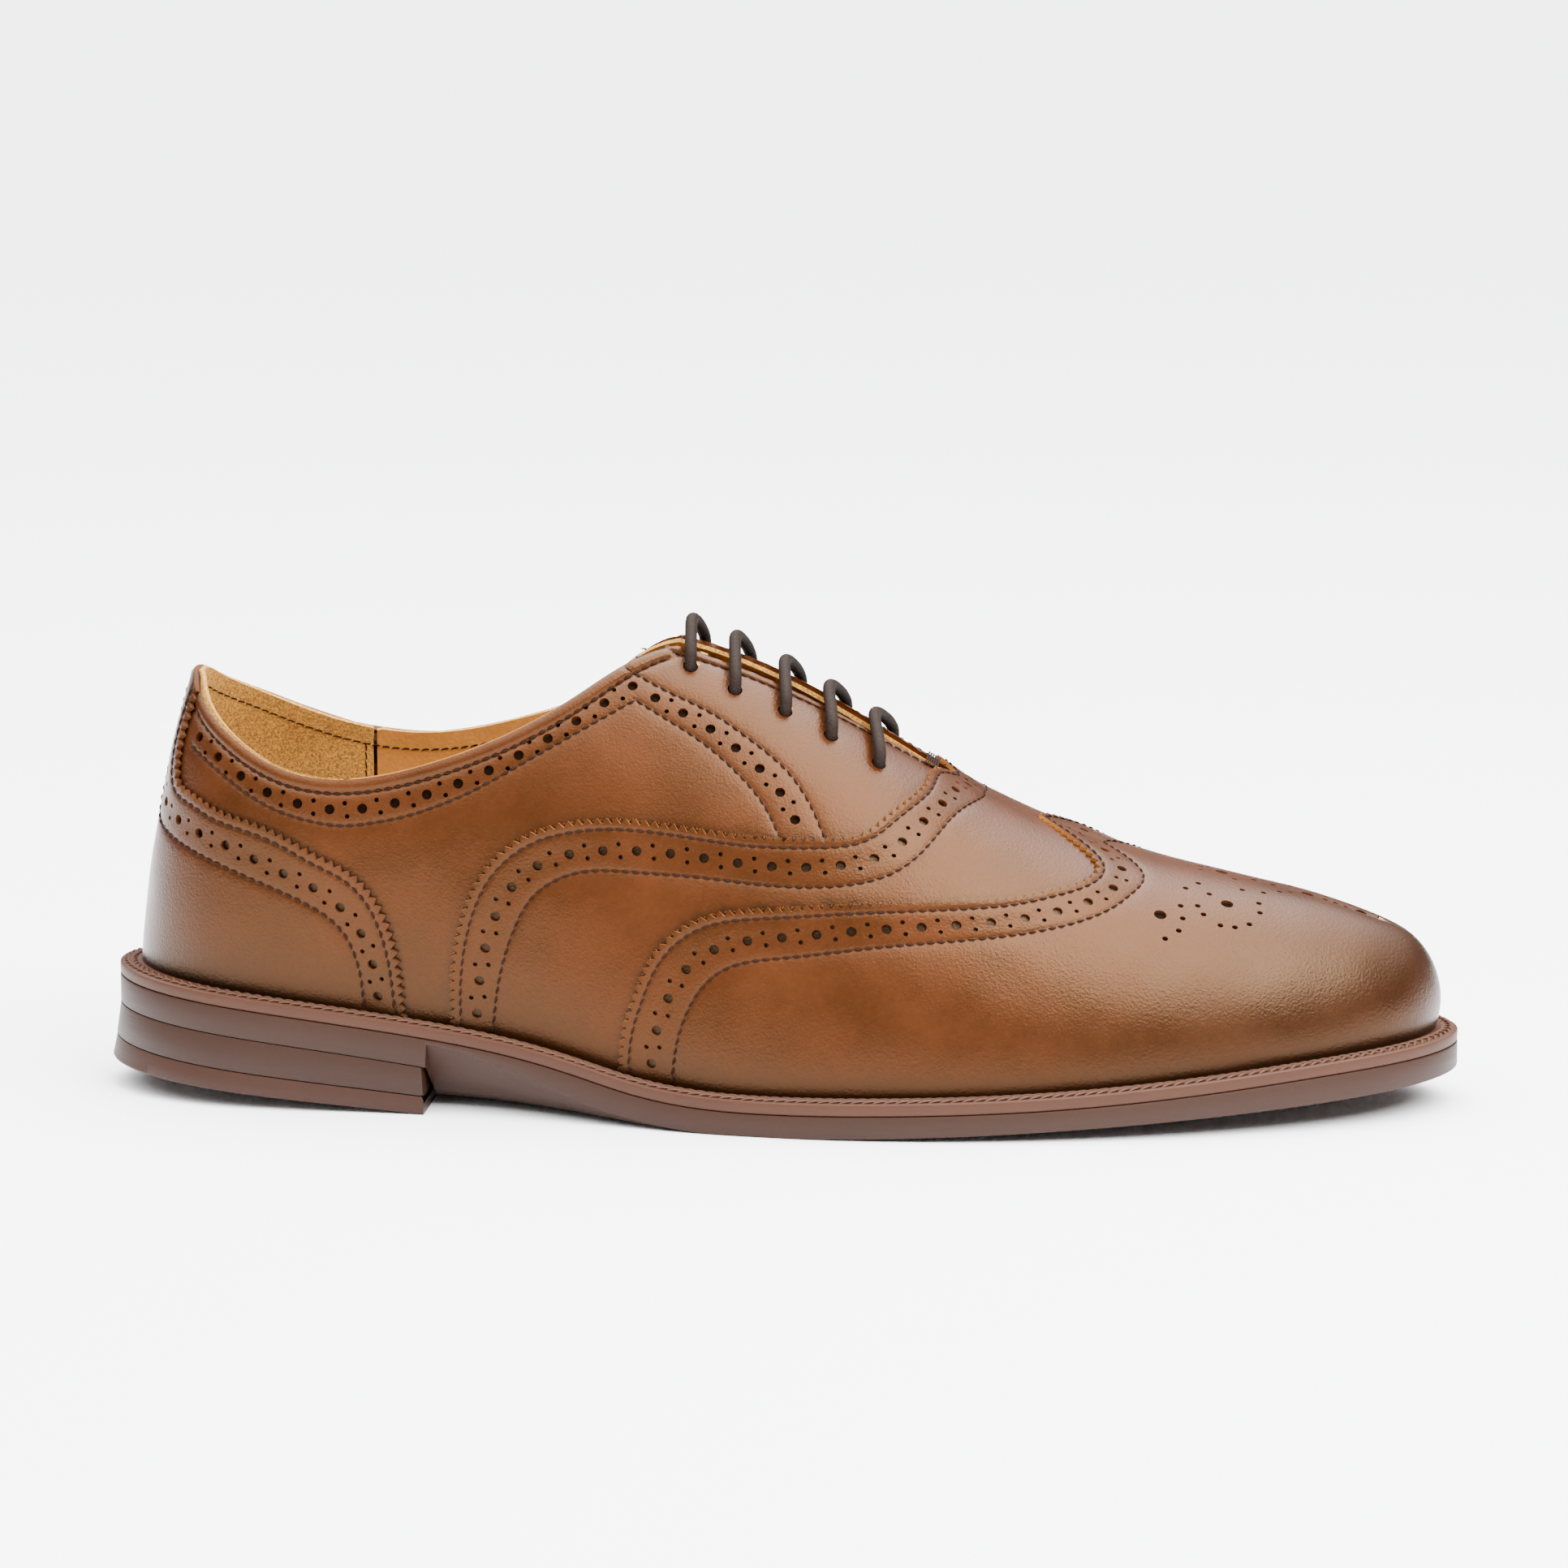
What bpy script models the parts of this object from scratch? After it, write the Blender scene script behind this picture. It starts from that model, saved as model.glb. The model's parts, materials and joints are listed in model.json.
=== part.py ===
"""Right shoe of a wing-cap oxford pair, as an assembly of its sole, upper and lacing pieces.

Frame: metres, +Z up, the toe towards +X, the lateral (outer) side towards -Y, the ground at
z = 0 and the length centred on x = 0.

The upper pieces are cut from one surface, the shell. A point of the shell is given by a
station s, which runs round the shoe from the heel back (0) over the lateral side to the toe
tip (11) and back over the medial side to the heel (22), and by a rise t from the feather
line on the welt (0) to the ridge over the instep (1). A piece lies at an offset from it.
"""
import math

import bpy
import bmesh
import numpy as np
from mathutils import Matrix, Vector
from mathutils.geometry import delaunay_2d_cdt

# Overall sizes
LENGTH = 0.312          # outsole, heel back to toe tip
BREADTH = 0.105         # outsole across the ball
INSTEP_HEIGHT = 0.1127  # heel top of the shell's ridge above the ground

# Material thicknesses and the gap between touching pieces
LEATHER = 0.0013
LINING = 0.0010
GAP = 0.0003
WELT = 0.0028
WELT_INSET = 0.0142     # width of the welt strip
FEATHER_INSET = 0.0053  # welt edge to the upper
FLOOR_GAP = 0.0004      # upper's bottom edge above the welt
INSOLE = 0.0030
SOCK = 0.0010
SHANK = 0.0016
SHANK_WIDTH = 0.014

# Sole and heel
HEEL_SEAT = 0.0068      # outsole's thickness over the heel
HEEL_BREAST = 0.077     # heel back to the breast
HEEL_TIP = 0.0062       # lift of the top piece's back edge off the ground
LIFT_BACK = 0.0115      # joint of heel lift and top piece above the ground, at the back
LIFT_BREAST = 0.0042    # and at the breast
TREAD_START = 0.140     # flat tread under the ball
TREAD_END = 0.162
TOE_SPRING = 0.0084
WAIST_EDGE = 0.0013     # outsole's side face left by the bevelled waist
BREAST_GAP = 0.0006     # heel to the outsole's step in front of it
BREAST_FLAT = 0.026     # half-width of the step that needs rows of points of its own
BREAST_STEP = 0.0002    # half of the step's run along the shoe
LIFT_FLARE = 0.001      # heel lift's back behind the outsole's
TOP_PIECE_FLARE = 0.002

# Lacing
EYELET_BORE = 0.0018    # radii
EYELET_TUBE = 0.0023
EYELET_FLANGE = 0.0036
EYELET_SHEET = 0.0005
QUARTER_EASE = 0.0006   # the quarter's hole round the tube
LINING_EASE = 0.0009    # the lining's, wider because the shell narrows inwards
FLANGE_EASE = 0.0006    # lining to the flange
LACE = 0.00145
TONGUE = 0.0015

MESH_STEP = 0.0085      # spacing of the mesh on the panels
MM = 0.001
NOMINAL_LENGTH = 0.312
NOMINAL_BREADTH = 0.105
NOMINAL_INSTEP = 0.1127
STATIONS = 11
TOUR = 2 * STATIONS

# Outsole outline, mm: distance from the heel back and half-breadth at stations 0 to 11
LATERAL_EDGE = [(0, 0), (7, -17.5), (27, -30), (58, -34), (95, -37.5), (135, -47),
                (175, -52.5), (215, -50.5), (252, -42.5), (282, -31), (303, -16.5), (312, 3)]
MEDIAL_EDGE = [(0, 0), (7, 17), (27, 29), (58, 31.5), (95, 29), (135, 32),
               (175, 44), (215, 52.5), (252, 49.5), (282, 39), (303, 23), (312, 3)]
# Welt top above the ground along the length, mm
WELT_TOP = [(0, 28.8), (30, 26.1), (53, 23.6), (76, 20.7), (99, 17.0), (111, 14.3), (124, 11.0),
            (140, 8.7), (160, 8.2), (185, 8.7), (222, 10.2), (258, 13.0), (285, 15.5), (312, 17.2)]
# Underside of the waist along the length, mm
WAIST_BOTTOM = [(77, 2.6), (92, 2.0), (112, 1.2), (130, 0.4), (140, 0)]
# Ridge over the instep and toe, mm, at stations 0 to 11
RIDGE = [(22, 0, 112.7), (27, 0, 115.7), (38, 0, 118.7), (62, 0, 117.7), (95, 0, 113.7),
         (130, 0, 108.7), (165, 0, 92.7), (200, 0, 72.2), (235, 0.5, 58.1), (264, 1.2, 51.1),
         (284, 2, 45.5), (293, 3, 41.9)]
# Section shape at stations 0 to 11, mm: side bulge and its height over the welt, then
# shoulder half-width and its height over the ground
LATERAL_SECTION = [(-0.4, 19, 8.5, 78.7), (0.5, 20, 20, 82.7), (2.5, 21, 32, 84.7),
                   (2, 20, 37, 85.7), (3, 22, 34, 98.7), (4, 26, 26, 106.5), (3, 24, 28, 92.1),
                   (2.5, 20, 28, 71.9), (2.5, 17, 25, 58.0), (3, 14, 20, 51.0),
                   (3.5, 12, 15, 45.2), (4, 11, 11, 41.2)]
MEDIAL_SECTION = [(-0.4, 19, 8.5, 78.7), (0.5, 20, 20, 82.7), (2.5, 21, 31, 84.7),
                  (2, 20, 35, 85.7), (3, 24, 32, 98.7), (4, 26, 26, 106.5), (3, 24, 28, 92.1),
                  (2.5, 20, 28, 71.9), (2.5, 17, 25, 58.0), (3, 14, 20, 51.0),
                  (3.5, 12, 15, 45.2), (4, 11, 11, 41.2)]

# Seams as (s, t) on the lateral half; the medial half mirrors them
LATERAL_TOPLINE = [(5.0, 0.885), (4.7, 0.81), (4.4, 0.735), (4.0, 0.667), (3.5, 0.62),
                   (3.0, 0.598), (2.5, 0.613), (2.0, 0.67), (1.5, 0.74), (1.0, 0.81),
                   (0.5, 0.835), (0.0, 0.84)]
MEDIAL_TOPLINE = [(5.0, 0.885), (4.7, 0.79), (4.4, 0.69), (4.0, 0.635), (3.5, 0.616),
                  (3.0, 0.636), (2.5, 0.675), (2.0, 0.72), (1.5, 0.765), (1.0, 0.81),
                  (0.5, 0.835), (0.0, 0.84)]
FACING_EDGE = [(6.8, 0.962), (6.5, 0.945), (6.2, 0.93), (5.8, 0.905), (5.4, 0.888), (5.0, 0.885)]
VAMP_SEAM = [(3.67, 0.0), (3.68, 0.18), (3.74, 0.30), (3.88, 0.403), (4.1, 0.462), (4.36, 0.488),
             (5.14, 0.498), (5.48, 0.507), (5.83, 0.535), (6.13, 0.581), (6.34, 0.663),
             (6.6, 0.81), (6.76, 0.95), (6.85, 1.0)]
QUARTER_FRONT = [(3.96, 0.0), (4.04, 0.2), (4.12, 0.28), (4.22, 0.335), (4.4, 0.37),
                 (5.14, 0.395), (5.53, 0.405), (5.93, 0.43), (6.36, 0.50), (6.65, 0.62),
                 (6.86, 0.75), (7.02, 0.95)]
CAP_SEAM = [(4.66, 0.0), (4.7, 0.13), (4.76, 0.195), (4.86, 0.269), (5.13, 0.347), (5.52, 0.385),
            (6.1, 0.436), (6.7, 0.504), (7.1, 0.568), (7.31, 0.617), (7.58, 0.704),
            (7.65, 0.76), (7.58, 0.85), (7.46, 0.94), (7.42, 1.0)]
UNDER_CAP = [(5.0, 0.0), (5.07, 0.13), (5.13, 0.175), (5.3, 0.24), (5.63, 0.28),
             (6.3, 0.343), (6.8, 0.393), (7.33, 0.47), (7.75, 0.575), (7.93, 0.655),
             (8.1, 0.77), (8.15, 1.0)]
FOXING_SEAM = [(3.36, 0.0), (3.33, 0.175), (3.27, 0.27), (3.18, 0.337), (3.02, 0.393),
               (2.8, 0.427), (2.56, 0.462), (2.29, 0.484), (1.97, 0.50), (1.62, 0.529),
               (1.34, 0.563), (1.26, 0.62), (1.26, 0.70), (1.32, 0.765)]
UNDER_FOXING = [(0.03, 0.47), (0.75, 0.44), (1.36, 0.40), (1.9, 0.355), (2.35, 0.32),
                (2.7, 0.28), (2.87, 0.24), (2.99, 0.17), (3.03, 0.0)]
LINING_SEAM = [(4.6, 0.0), (4.75, 0.30), (5.6, 0.42), (6.4, 0.52), (6.75, 0.75), (6.9, 0.94)]
GRIP_SEAM = 2.95
TONGUE_BASE = 7.2
TONGUE_TOP = 5.02
TONGUE_SIDE = [(5.02, 0.74), (5.5, 0.72), (6.6, 0.80), (7.09, 0.88)]  # ends level with the ridge
EYELETS = [(5.11, 0.832), (5.39, 0.806), (5.71, 0.808), (6.00, 0.804), (6.30, 0.796)]
LEVEL = LEATHER + GAP
CENTRE = (LENGTH - TOP_PIECE_FLARE) / 2
LACE_DEPTH = -(LEVEL + LINING + FLANGE_EASE + EYELET_SHEET + GAP + LACE)
TONGUE_DEPTH = LACE_DEPTH - LACE - 0.0012


# ---------------------------------------------------------------- curves and the shell

def closed_cubic(values):
    """Smooth closed curve through the values, one per unit of its parameter."""
    values = np.asarray(values, float)
    count = len(values)
    ident = np.eye(count)
    system = 4 * ident + np.roll(ident, 1, 0) + np.roll(ident, -1, 0)
    bend = np.linalg.solve(system, 6 * (np.roll(values, -1, 0) - 2 * values + np.roll(values, 1, 0)))

    def at(s):
        s = np.mod(np.asarray(s, float), count)
        i = np.floor(s).astype(int) % count
        j = (i + 1) % count
        w = (s - np.floor(s))[..., None]
        return ((1 - w) * values[i] + w * values[j]
                + (((1 - w) ** 3 - (1 - w)) * bend[i] + (w ** 3 - w) * bend[j]) / 6)
    return at


def open_cubic(points):
    """Smooth profile through (position, value) points, value by position."""
    xs, zs = np.asarray(points, float).T
    count = len(xs)
    h = np.diff(xs)
    system = np.eye(count)
    right = np.zeros(count)
    for i in range(1, count - 1):
        system[i, i - 1:i + 2] = h[i - 1], 2 * (h[i - 1] + h[i]), h[i]
        right[i] = 6 * ((zs[i + 1] - zs[i]) / h[i] - (zs[i] - zs[i - 1]) / h[i - 1])
    bend = np.linalg.solve(system, right)

    def at(x):
        x = np.clip(np.asarray(x, float), xs[0], xs[-1])
        i = np.clip(np.searchsorted(xs, x) - 1, 0, count - 2)
        a = (xs[i + 1] - x) / h[i]
        b = 1 - a
        bending = (a ** 3 - a) * bend[i] + (b ** 3 - b) * bend[i + 1]
        return a * zs[i] + b * zs[i + 1] + bending * h[i] ** 2 / 6
    return at


def round_loop(lateral, medial):
    return closed_cubic(list(lateral) + list(medial)[-2:0:-1])


LENGTHWISE = LENGTH / NOMINAL_LENGTH
CROSSWISE = BREADTH / NOMINAL_BREADTH
UPWARD = INSTEP_HEIGHT / NOMINAL_INSTEP


def edge_table(rows):
    return [(x * MM * LENGTHWISE, y * MM * CROSSWISE) for x, y in rows]


outline = round_loop(edge_table(LATERAL_EDGE), edge_table(MEDIAL_EDGE))
welt_top = open_cubic([(x * MM * LENGTHWISE, z * MM) for x, z in WELT_TOP])
waist_bottom = open_cubic([(x * MM * LENGTHWISE, z * MM) for x, z in WAIST_BOTTOM])


def inset_outline(s, inset):
    """Points of the outline moved inwards, and the outward direction at each."""
    s = np.asarray(s, float)
    tangent = outline(s + 0.001) - outline(s - 0.001)
    tangent /= np.linalg.norm(tangent, axis=-1, keepdims=True)
    outward = np.stack([tangent[..., 1], -tangent[..., 0]], -1)
    return outline(s) - outward * np.asarray(inset)[..., None], outward


def section_rails():
    """Four closed curves round the shoe that carry the shell's cubic sections."""
    sides = []
    for medial, table in ((False, LATERAL_SECTION), (True, MEDIAL_SECTION)):
        rows = []
        for i, (bulge, rise, shoulder, height) in enumerate(table):
            foot, outward = inset_outline(TOUR - i if medial else i, FEATHER_INSET)
            ridge = np.array(RIDGE[i]) * MM * (LENGTHWISE, CROSSWISE, UPWARD)
            base = float(welt_top(foot[0])) + FLOOR_GAP
            away = foot - ridge[:2]
            away /= np.linalg.norm(away)
            side = foot + outward * bulge * MM
            top = ridge[:2] + away * shoulder * MM
            rows.append([(*foot, base), (*side, base + rise * MM * UPWARD),
                         (*top, height * MM * UPWARD), tuple(ridge)])
        sides.append(rows)
    lateral, medial = sides
    return [round_loop([row[k] for row in lateral], [row[k] for row in medial]) for k in range(4)]


RAILS = section_rails()


def shell(s, t):
    t = np.asarray(t, float)[..., None]
    a, b, c, d = (rail(s) for rail in RAILS)
    return (1 - t) ** 3 * a + 3 * (1 - t) ** 2 * t * b + 3 * (1 - t) * t * t * c + t ** 3 * d


def side_normal(s, t):
    step = 0.002
    low = np.clip(t, step, 1 - step)
    by_s = shell(s + step, low) - shell(s - step, low)
    by_t = shell(s, low + step) - shell(s, low - step)
    normal = np.cross(by_s, by_t)
    return normal / np.linalg.norm(normal, axis=-1, keepdims=True)


def shell_normal(s, t):
    """Outward normal; on the ridge it is the mean of the two sides'."""
    s, t = np.asarray(s, float), np.asarray(t, float)
    normal = side_normal(s, t)
    normal = np.where((t > 0.9999)[..., None], normal + side_normal(TOUR - s, t), normal)
    return normal / np.linalg.norm(normal, axis=-1, keepdims=True)


def on_shell(s, t, offset):
    """Point of the shell moved out along its normal, never below the welt."""
    point = shell(s, t) + shell_normal(s, t) * np.asarray(offset)[..., None]
    point[..., 2] = np.maximum(point[..., 2], welt_top(point[..., 0]) + FLOOR_GAP)
    return point


# ---------------------------------------------------------------- Blender helpers

for item in list(bpy.data.objects):
    bpy.data.objects.remove(item, do_unlink=True)

shoe = bpy.data.collections.new("oxford_shoe")
bpy.context.scene.collection.children.link(shoe)


def material(name, colour, roughness, metallic=0.0):
    value = bpy.data.materials.new(name)
    value.use_nodes = True
    shader = value.node_tree.nodes["Principled BSDF"]
    shader.inputs["Base Color"].default_value = (*colour, 1.0)
    shader.inputs["Roughness"].default_value = roughness
    shader.inputs["Metallic"].default_value = metallic
    return value


TAN = (0.36, 0.13, 0.045)
SOLE_BROWN = (0.09, 0.045, 0.03)
GOLD_SUEDE = (0.50, 0.24, 0.03)
BUFF = (0.55, 0.42, 0.28)


def mesh_object(name, points, faces, look):
    """Object from points in the shell's x, moved so that the length is centred."""
    mesh = bpy.data.meshes.new(name)
    moved = [(x - CENTRE, y, z) for x, y, z in points]
    mesh.from_pydata(moved, [], faces)
    mesh.materials.append(look)
    item = bpy.data.objects.new(name, mesh)
    shoe.objects.link(item)
    return item


def spaced(points, step):
    """Smooth run through flat points, with about one point per step."""
    points = np.asarray(points, float)
    chord = np.concatenate([[0], np.cumsum(np.linalg.norm(np.diff(points, axis=0), axis=1))])
    count = max(1, math.ceil(chord[-1] / step))
    where = np.linspace(0, chord[-1], count + 1)
    if len(points) == 2:
        return points[0] + (points[1] - points[0]) * (where / chord[-1])[:, None]
    axes = [open_cubic(list(zip(chord, points[:, k]))) for k in range(2)]
    return np.stack([axis(where) for axis in axes], -1)


def joined(*runs):
    """One loop from runs that follow each other, without the repeated ends."""
    return np.concatenate([run[:-1] for run in runs])


def inside(points, loop):
    x, y = points[:, 0:1], points[:, 1:2]
    x0, y0 = loop[:, 0], loop[:, 1]
    x1, y1 = np.roll(x0, -1), np.roll(y0, -1)
    rise = np.where(y1 == y0, 1, y1 - y0)
    crossing = ((y0 > y) != (y1 > y)) & (x < x0 + (y - y0) * (x1 - x0) / rise)
    return crossing.sum(1) % 2 == 1


def clear_of(points, loop, distance):
    start, end = loop, np.roll(loop, -1, 0)
    run = end - start
    where = ((points[:, None] - start) * run).sum(-1) / (run ** 2).sum(-1)
    nearest = start + np.clip(where, 0, 1)[..., None] * run
    return np.linalg.norm(points[:, None] - nearest, axis=-1).min(1) > distance


def triangulate(loops, extra, clearance):
    """Triangles of the first loop less the others, through the extra points inside it."""
    keep = inside(extra, loops[0])
    for loop in loops[1:]:
        keep &= ~inside(extra, loop)
    extra = extra[keep]
    for loop in loops:
        if len(extra):
            extra = extra[clear_of(extra, loop, clearance)]
    points, edges = [], []
    for loop in loops:
        first = len(points)
        points += [Vector(p) for p in loop]
        edges += [(first + i, first + (i + 1) % len(loop)) for i in range(len(loop))]
    points += [Vector(p) for p in extra]
    found = delaunay_2d_cdt(points, edges, [], 2, 1e-7)
    flat = np.array([tuple(p) for p in found[0]])
    faces = np.array([tuple(face) for face in found[2]])
    middles = flat[faces].mean(1)
    kept = inside(middles, loops[0])
    for loop in loops[1:]:
        kept &= ~inside(middles, loop)
    used, again = np.unique(faces[kept], return_inverse=True)
    return flat[used], [tuple(face) for face in again.reshape(-1, 3).tolist()]


def staggered(low, high, step, rise):
    """Lattice with every other row shifted by half a step."""
    rows = []
    for j, y in enumerate(np.arange(low[1], high[1], rise)):
        xs = np.arange(low[0], high[0], step) + (step / 2 if j % 2 else 0)
        rows.append(np.stack([xs, np.full(len(xs), y)], -1))
    return np.concatenate(rows)


# A pattern is a flat picture of the shell: s and t scaled to about their real lengths
PATTERN = np.array([0.030, 0.095])
PATTERN_FIELD = staggered((-0.09, 0.0), (TOUR * PATTERN[0], PATTERN[1]), MESH_STEP, MESH_STEP * 0.87)
TOE_CORNER = np.array([[STATIONS - 0.16, 0.95]]) * PATTERN  # keeps the folds' meeting point open
PATTERN_LATTICE = np.concatenate([PATTERN_FIELD, TOE_CORNER])


def seam(points):
    return spaced(np.asarray(points, float) * PATTERN, MESH_STEP * 0.8)


def along(t, start, end):
    """Straight run at one rise; its points fall on the same stations in every layer."""
    low, high = sorted((start, end))
    between_ends = np.arange(math.floor(low * 4) / 4 + 0.25, high - 0.02, 0.25)
    stations = np.concatenate([[low], between_ends[between_ends > low + 0.02], [high]])
    run = np.stack([stations, np.full(len(stations), float(t))], -1) * PATTERN
    return run if start < end else run[::-1]


def up(s, start, end):
    """Straight run at one station; its points fall on the same rises in every layer."""
    low, high = sorted((start, end))
    between_ends = np.arange(math.floor(low * 10) / 10 + 0.1, high - 0.01, 0.1)
    rises = np.concatenate([[low], between_ends[between_ends > low + 0.01], [high]])
    run = np.stack([np.full(len(rises), float(s)), rises], -1) * PATTERN
    return run if start < end else run[::-1]


def reversed_run(run):
    return run[::-1]


def moved_seam(points, ds, dt):
    """Seam's neighbour across a butt joint; its ends stay at the feather line and ridge."""
    points = np.asarray(points, float)
    shift = np.where((points[:, 1:] > 0.0) & (points[:, 1:] < 0.96), dt, 0.0)
    return np.concatenate([points[:, :1] + ds, points[:, 1:] + shift], 1)


def at_offset(offset):
    return lambda s, t: on_shell(s, t, np.full(len(s), offset))


def panel(name, loops, side, place, thickness, look):
    """Piece of the upper: its flat pattern laid on the shell, and solidified inwards."""
    flat, faces = triangulate(loops, PATTERN_LATTICE, MESH_STEP * 0.45)
    s, t = (flat / PATTERN).T
    t = np.clip(t, 0, 1)
    points, triangles = [], []
    if side in ("lateral", "both"):
        points += place(s, t).tolist()
        triangles += faces
    if side in ("medial", "both"):
        first = len(points)
        points += place(TOUR - s, t).tolist()
        triangles += [tuple(first + v for v in reversed(face)) for face in faces]
    item = mesh_object(name, points, triangles, look)
    if side == "both":
        made = bmesh.new()
        made.from_mesh(item.data)
        bmesh.ops.remove_doubles(made, verts=made.verts, dist=0.00005)
        made.to_mesh(item.data)
        made.free()
    solid = item.modifiers.new("thickness", 'SOLIDIFY')
    solid.thickness = thickness
    solid.offset = -1.0
    solid.use_even_offset = False
    return item


def slab(name, loops, top, bottom, look, extra=()):
    """Sole layer: a plan shape between an upper and a lower height of x, y and edge distance."""
    lattice = staggered((0.0, -0.07 * CROSSWISE), (LENGTH, 0.07 * CROSSWISE), 0.0075, 0.018)
    if len(extra):
        lattice = np.concatenate([lattice[clear_of(lattice, np.asarray(extra), 0.003)], extra])
    flat, faces = triangulate(loops, lattice, 0.0011)
    count = len(flat)
    points = [(x, y, float(top(x, y))) for x, y in flat]
    points += [(x, y, float(bottom(x, y))) for x, y in flat]
    sides = []
    for a, b in boundary_edges(faces):
        sides.append((b, a, a + count, b + count))
    lower = [tuple(count + v for v in reversed(face)) for face in faces]
    return mesh_object(name, points, faces + lower + sides, look)


def boundary_edges(faces):
    seen = set()
    for face in faces:
        for a, b in zip(face, face[1:] + face[:1]):
            if (b, a) in seen:
                seen.remove((b, a))
            else:
                seen.add((a, b))
    return sorted(seen)


# ---------------------------------------------------------------- sole

AROUND = np.arange(0, TOUR, 0.25)


def plan_loop(inset):
    return inset_outline(AROUND, np.full(len(AROUND), inset))[0]


def over_welt(height):
    return lambda x, y: welt_top(x) + height


def seat_bottom(x):
    return welt_top(x) - WELT - GAP - HEEL_SEAT


def waist_share(x):
    """1 at the breast, falling to 0 where the bevelled waist runs out into the tread."""
    share = np.clip((TREAD_START + 0.01 - x / LENGTHWISE) / (TREAD_START + 0.01 - HEEL_BREAST), 0, 1)
    return share * share * (3 - 2 * share)


OUTLINE_FINE = outline(np.arange(0, TOUR, 0.05))


def edge_distance(x, y):
    return float(np.linalg.norm(OUTLINE_FINE - (x, y), axis=1).min())


def bevel_width(x):
    return 0.009 * float(waist_share(x)) + 0.0001


def outsole_bottom(x, y):
    """Heel seat behind the breast, bevelled waist in front of it, then tread and toe spring."""
    at = x / LENGTHWISE
    if at < HEEL_BREAST:
        return seat_bottom(x)
    if at < TREAD_START:
        middle = float(waist_bottom(x))
    else:
        middle = TOE_SPRING * max(0.0, (at - TREAD_END) / (NOMINAL_LENGTH - TREAD_END)) ** 1.35
    side = float(welt_top(x)) - WELT - GAP - WAIST_EDGE
    rim = middle + (side - middle) * float(waist_share(x))
    across = min(1.0, edge_distance(x, y) / bevel_width(x))
    return rim + (middle - rim) * across


def heel_loop(grow):
    """Heel outline: the outsole's back up to the breast, grown backwards by the heel's flare."""
    s = np.arange(-4.2, 4.21, 0.2)
    points = inset_outline(s, np.full(len(s), 0.0))[0]
    breast = HEEL_BREAST * LENGTHWISE - BREAST_GAP
    points[:, 0] -= grow * (1 - points[:, 0] / breast).clip(0, 1)
    points = points[points[:, 0] < breast - 0.003]
    side = np.abs(points[0, 1]), np.abs(points[-1, 1])
    corners = [(breast, side[1] * -1.005), (breast, side[0] * 1.005)]
    line = spaced([corners[0], corners[1]], 0.012)
    return np.concatenate([points, line])


def joint_height(x):
    share = x / (HEEL_BREAST * LENGTHWISE)
    return LIFT_BACK + (LIFT_BREAST - LIFT_BACK) * share


def heel_bottom(x):
    return HEEL_TIP * max(0.0, 1 - (x + BREAST_GAP) / (HEEL_BREAST * LENGTHWISE))


sole_look = material("sole_rubber", SOLE_BROWN, 0.55)


def outsole():
    breast = HEEL_BREAST * LENGTHWISE
    half = BREAST_FLAT * CROSSWISE
    step = (-BREAST_STEP, BREAST_STEP)
    extra = [(breast + side, y) for side in step for y in np.arange(-half, half, 0.006)]
    for s in np.concatenate([np.arange(3.7, 5.3, 0.2), np.arange(16.7, 18.3, 0.2)]):
        x = float(outline(s)[0])
        if x > breast + 0.002:
            extra.append(tuple(inset_outline(s, bevel_width(x))[0]))
    loop = plan_loop(0.0)
    cuts = []
    for a, b in zip(loop, np.roll(loop, -1, 0)):
        cuts.append(a)
        for x in sorted((breast - BREAST_STEP, breast + BREAST_STEP), reverse=bool(a[0] > b[0])):
            if min(a[0], b[0]) < x < max(a[0], b[0]):
                cuts.append(a + (b - a) * (x - a[0]) / (b[0] - a[0]))
    slab("outsole", [np.array(cuts)], over_welt(-WELT - GAP), outsole_bottom, sole_look, np.array(extra))


def welt():
    slab("welt", [plan_loop(0.0), plan_loop(WELT_INSET)], over_welt(0), over_welt(-WELT),
         material("welt_rubber", (0.12, 0.06, 0.04), 0.6))


def heel_lift():
    slab("heel_lift", [heel_loop(LIFT_FLARE)], lambda x, y: seat_bottom(x) - GAP,
         lambda x, y: joint_height(x) + GAP / 2, material("heel_lift_rubber", SOLE_BROWN, 0.55))


def heel_top_piece():
    slab("heel_top_piece", [heel_loop(TOP_PIECE_FLARE)], lambda x, y: joint_height(x) - GAP / 2,
         lambda x, y: heel_bottom(x), material("top_piece_rubber", (0.07, 0.035, 0.025), 0.6))


def insole():
    loop = plan_loop(FEATHER_INSET + LEVEL + LINING + 0.0008)
    slab("insole", [loop], over_welt(GAP + INSOLE), over_welt(GAP), material("insole_board", BUFF, 0.8))


def sock_lining():
    loop = plan_loop(FEATHER_INSET + LEVEL + LINING + 0.0011)
    base = INSOLE + 2 * GAP
    slab("sock_lining", [loop], over_welt(base + SOCK), over_welt(base),
         material("sock_leather", GOLD_SUEDE, 0.6))


SHANK_BACK = 0.045
SHANK_FRONT = 0.150
SHANK_SHIFT = -0.004    # towards the lateral side, under the foot's weight line


def shank_loop(grow):
    """Long plan shape with round ends."""
    radius = SHANK_WIDTH / 2 + grow
    points = []
    for end, start in ((SHANK_BACK, math.pi / 2), (SHANK_FRONT, -math.pi / 2)):
        for k in range(9):
            turn = start + math.pi * k / 8
            x = end * LENGTHWISE + radius * math.cos(turn)
            points.append((x, SHANK_SHIFT + radius * math.sin(turn)))
    sides = []
    for a, b in zip(points, points[1:] + points[:1]):
        sides += [tuple(p) for p in spaced([a, b], 0.010)[:-1]]
    return np.array(sides)


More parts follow.
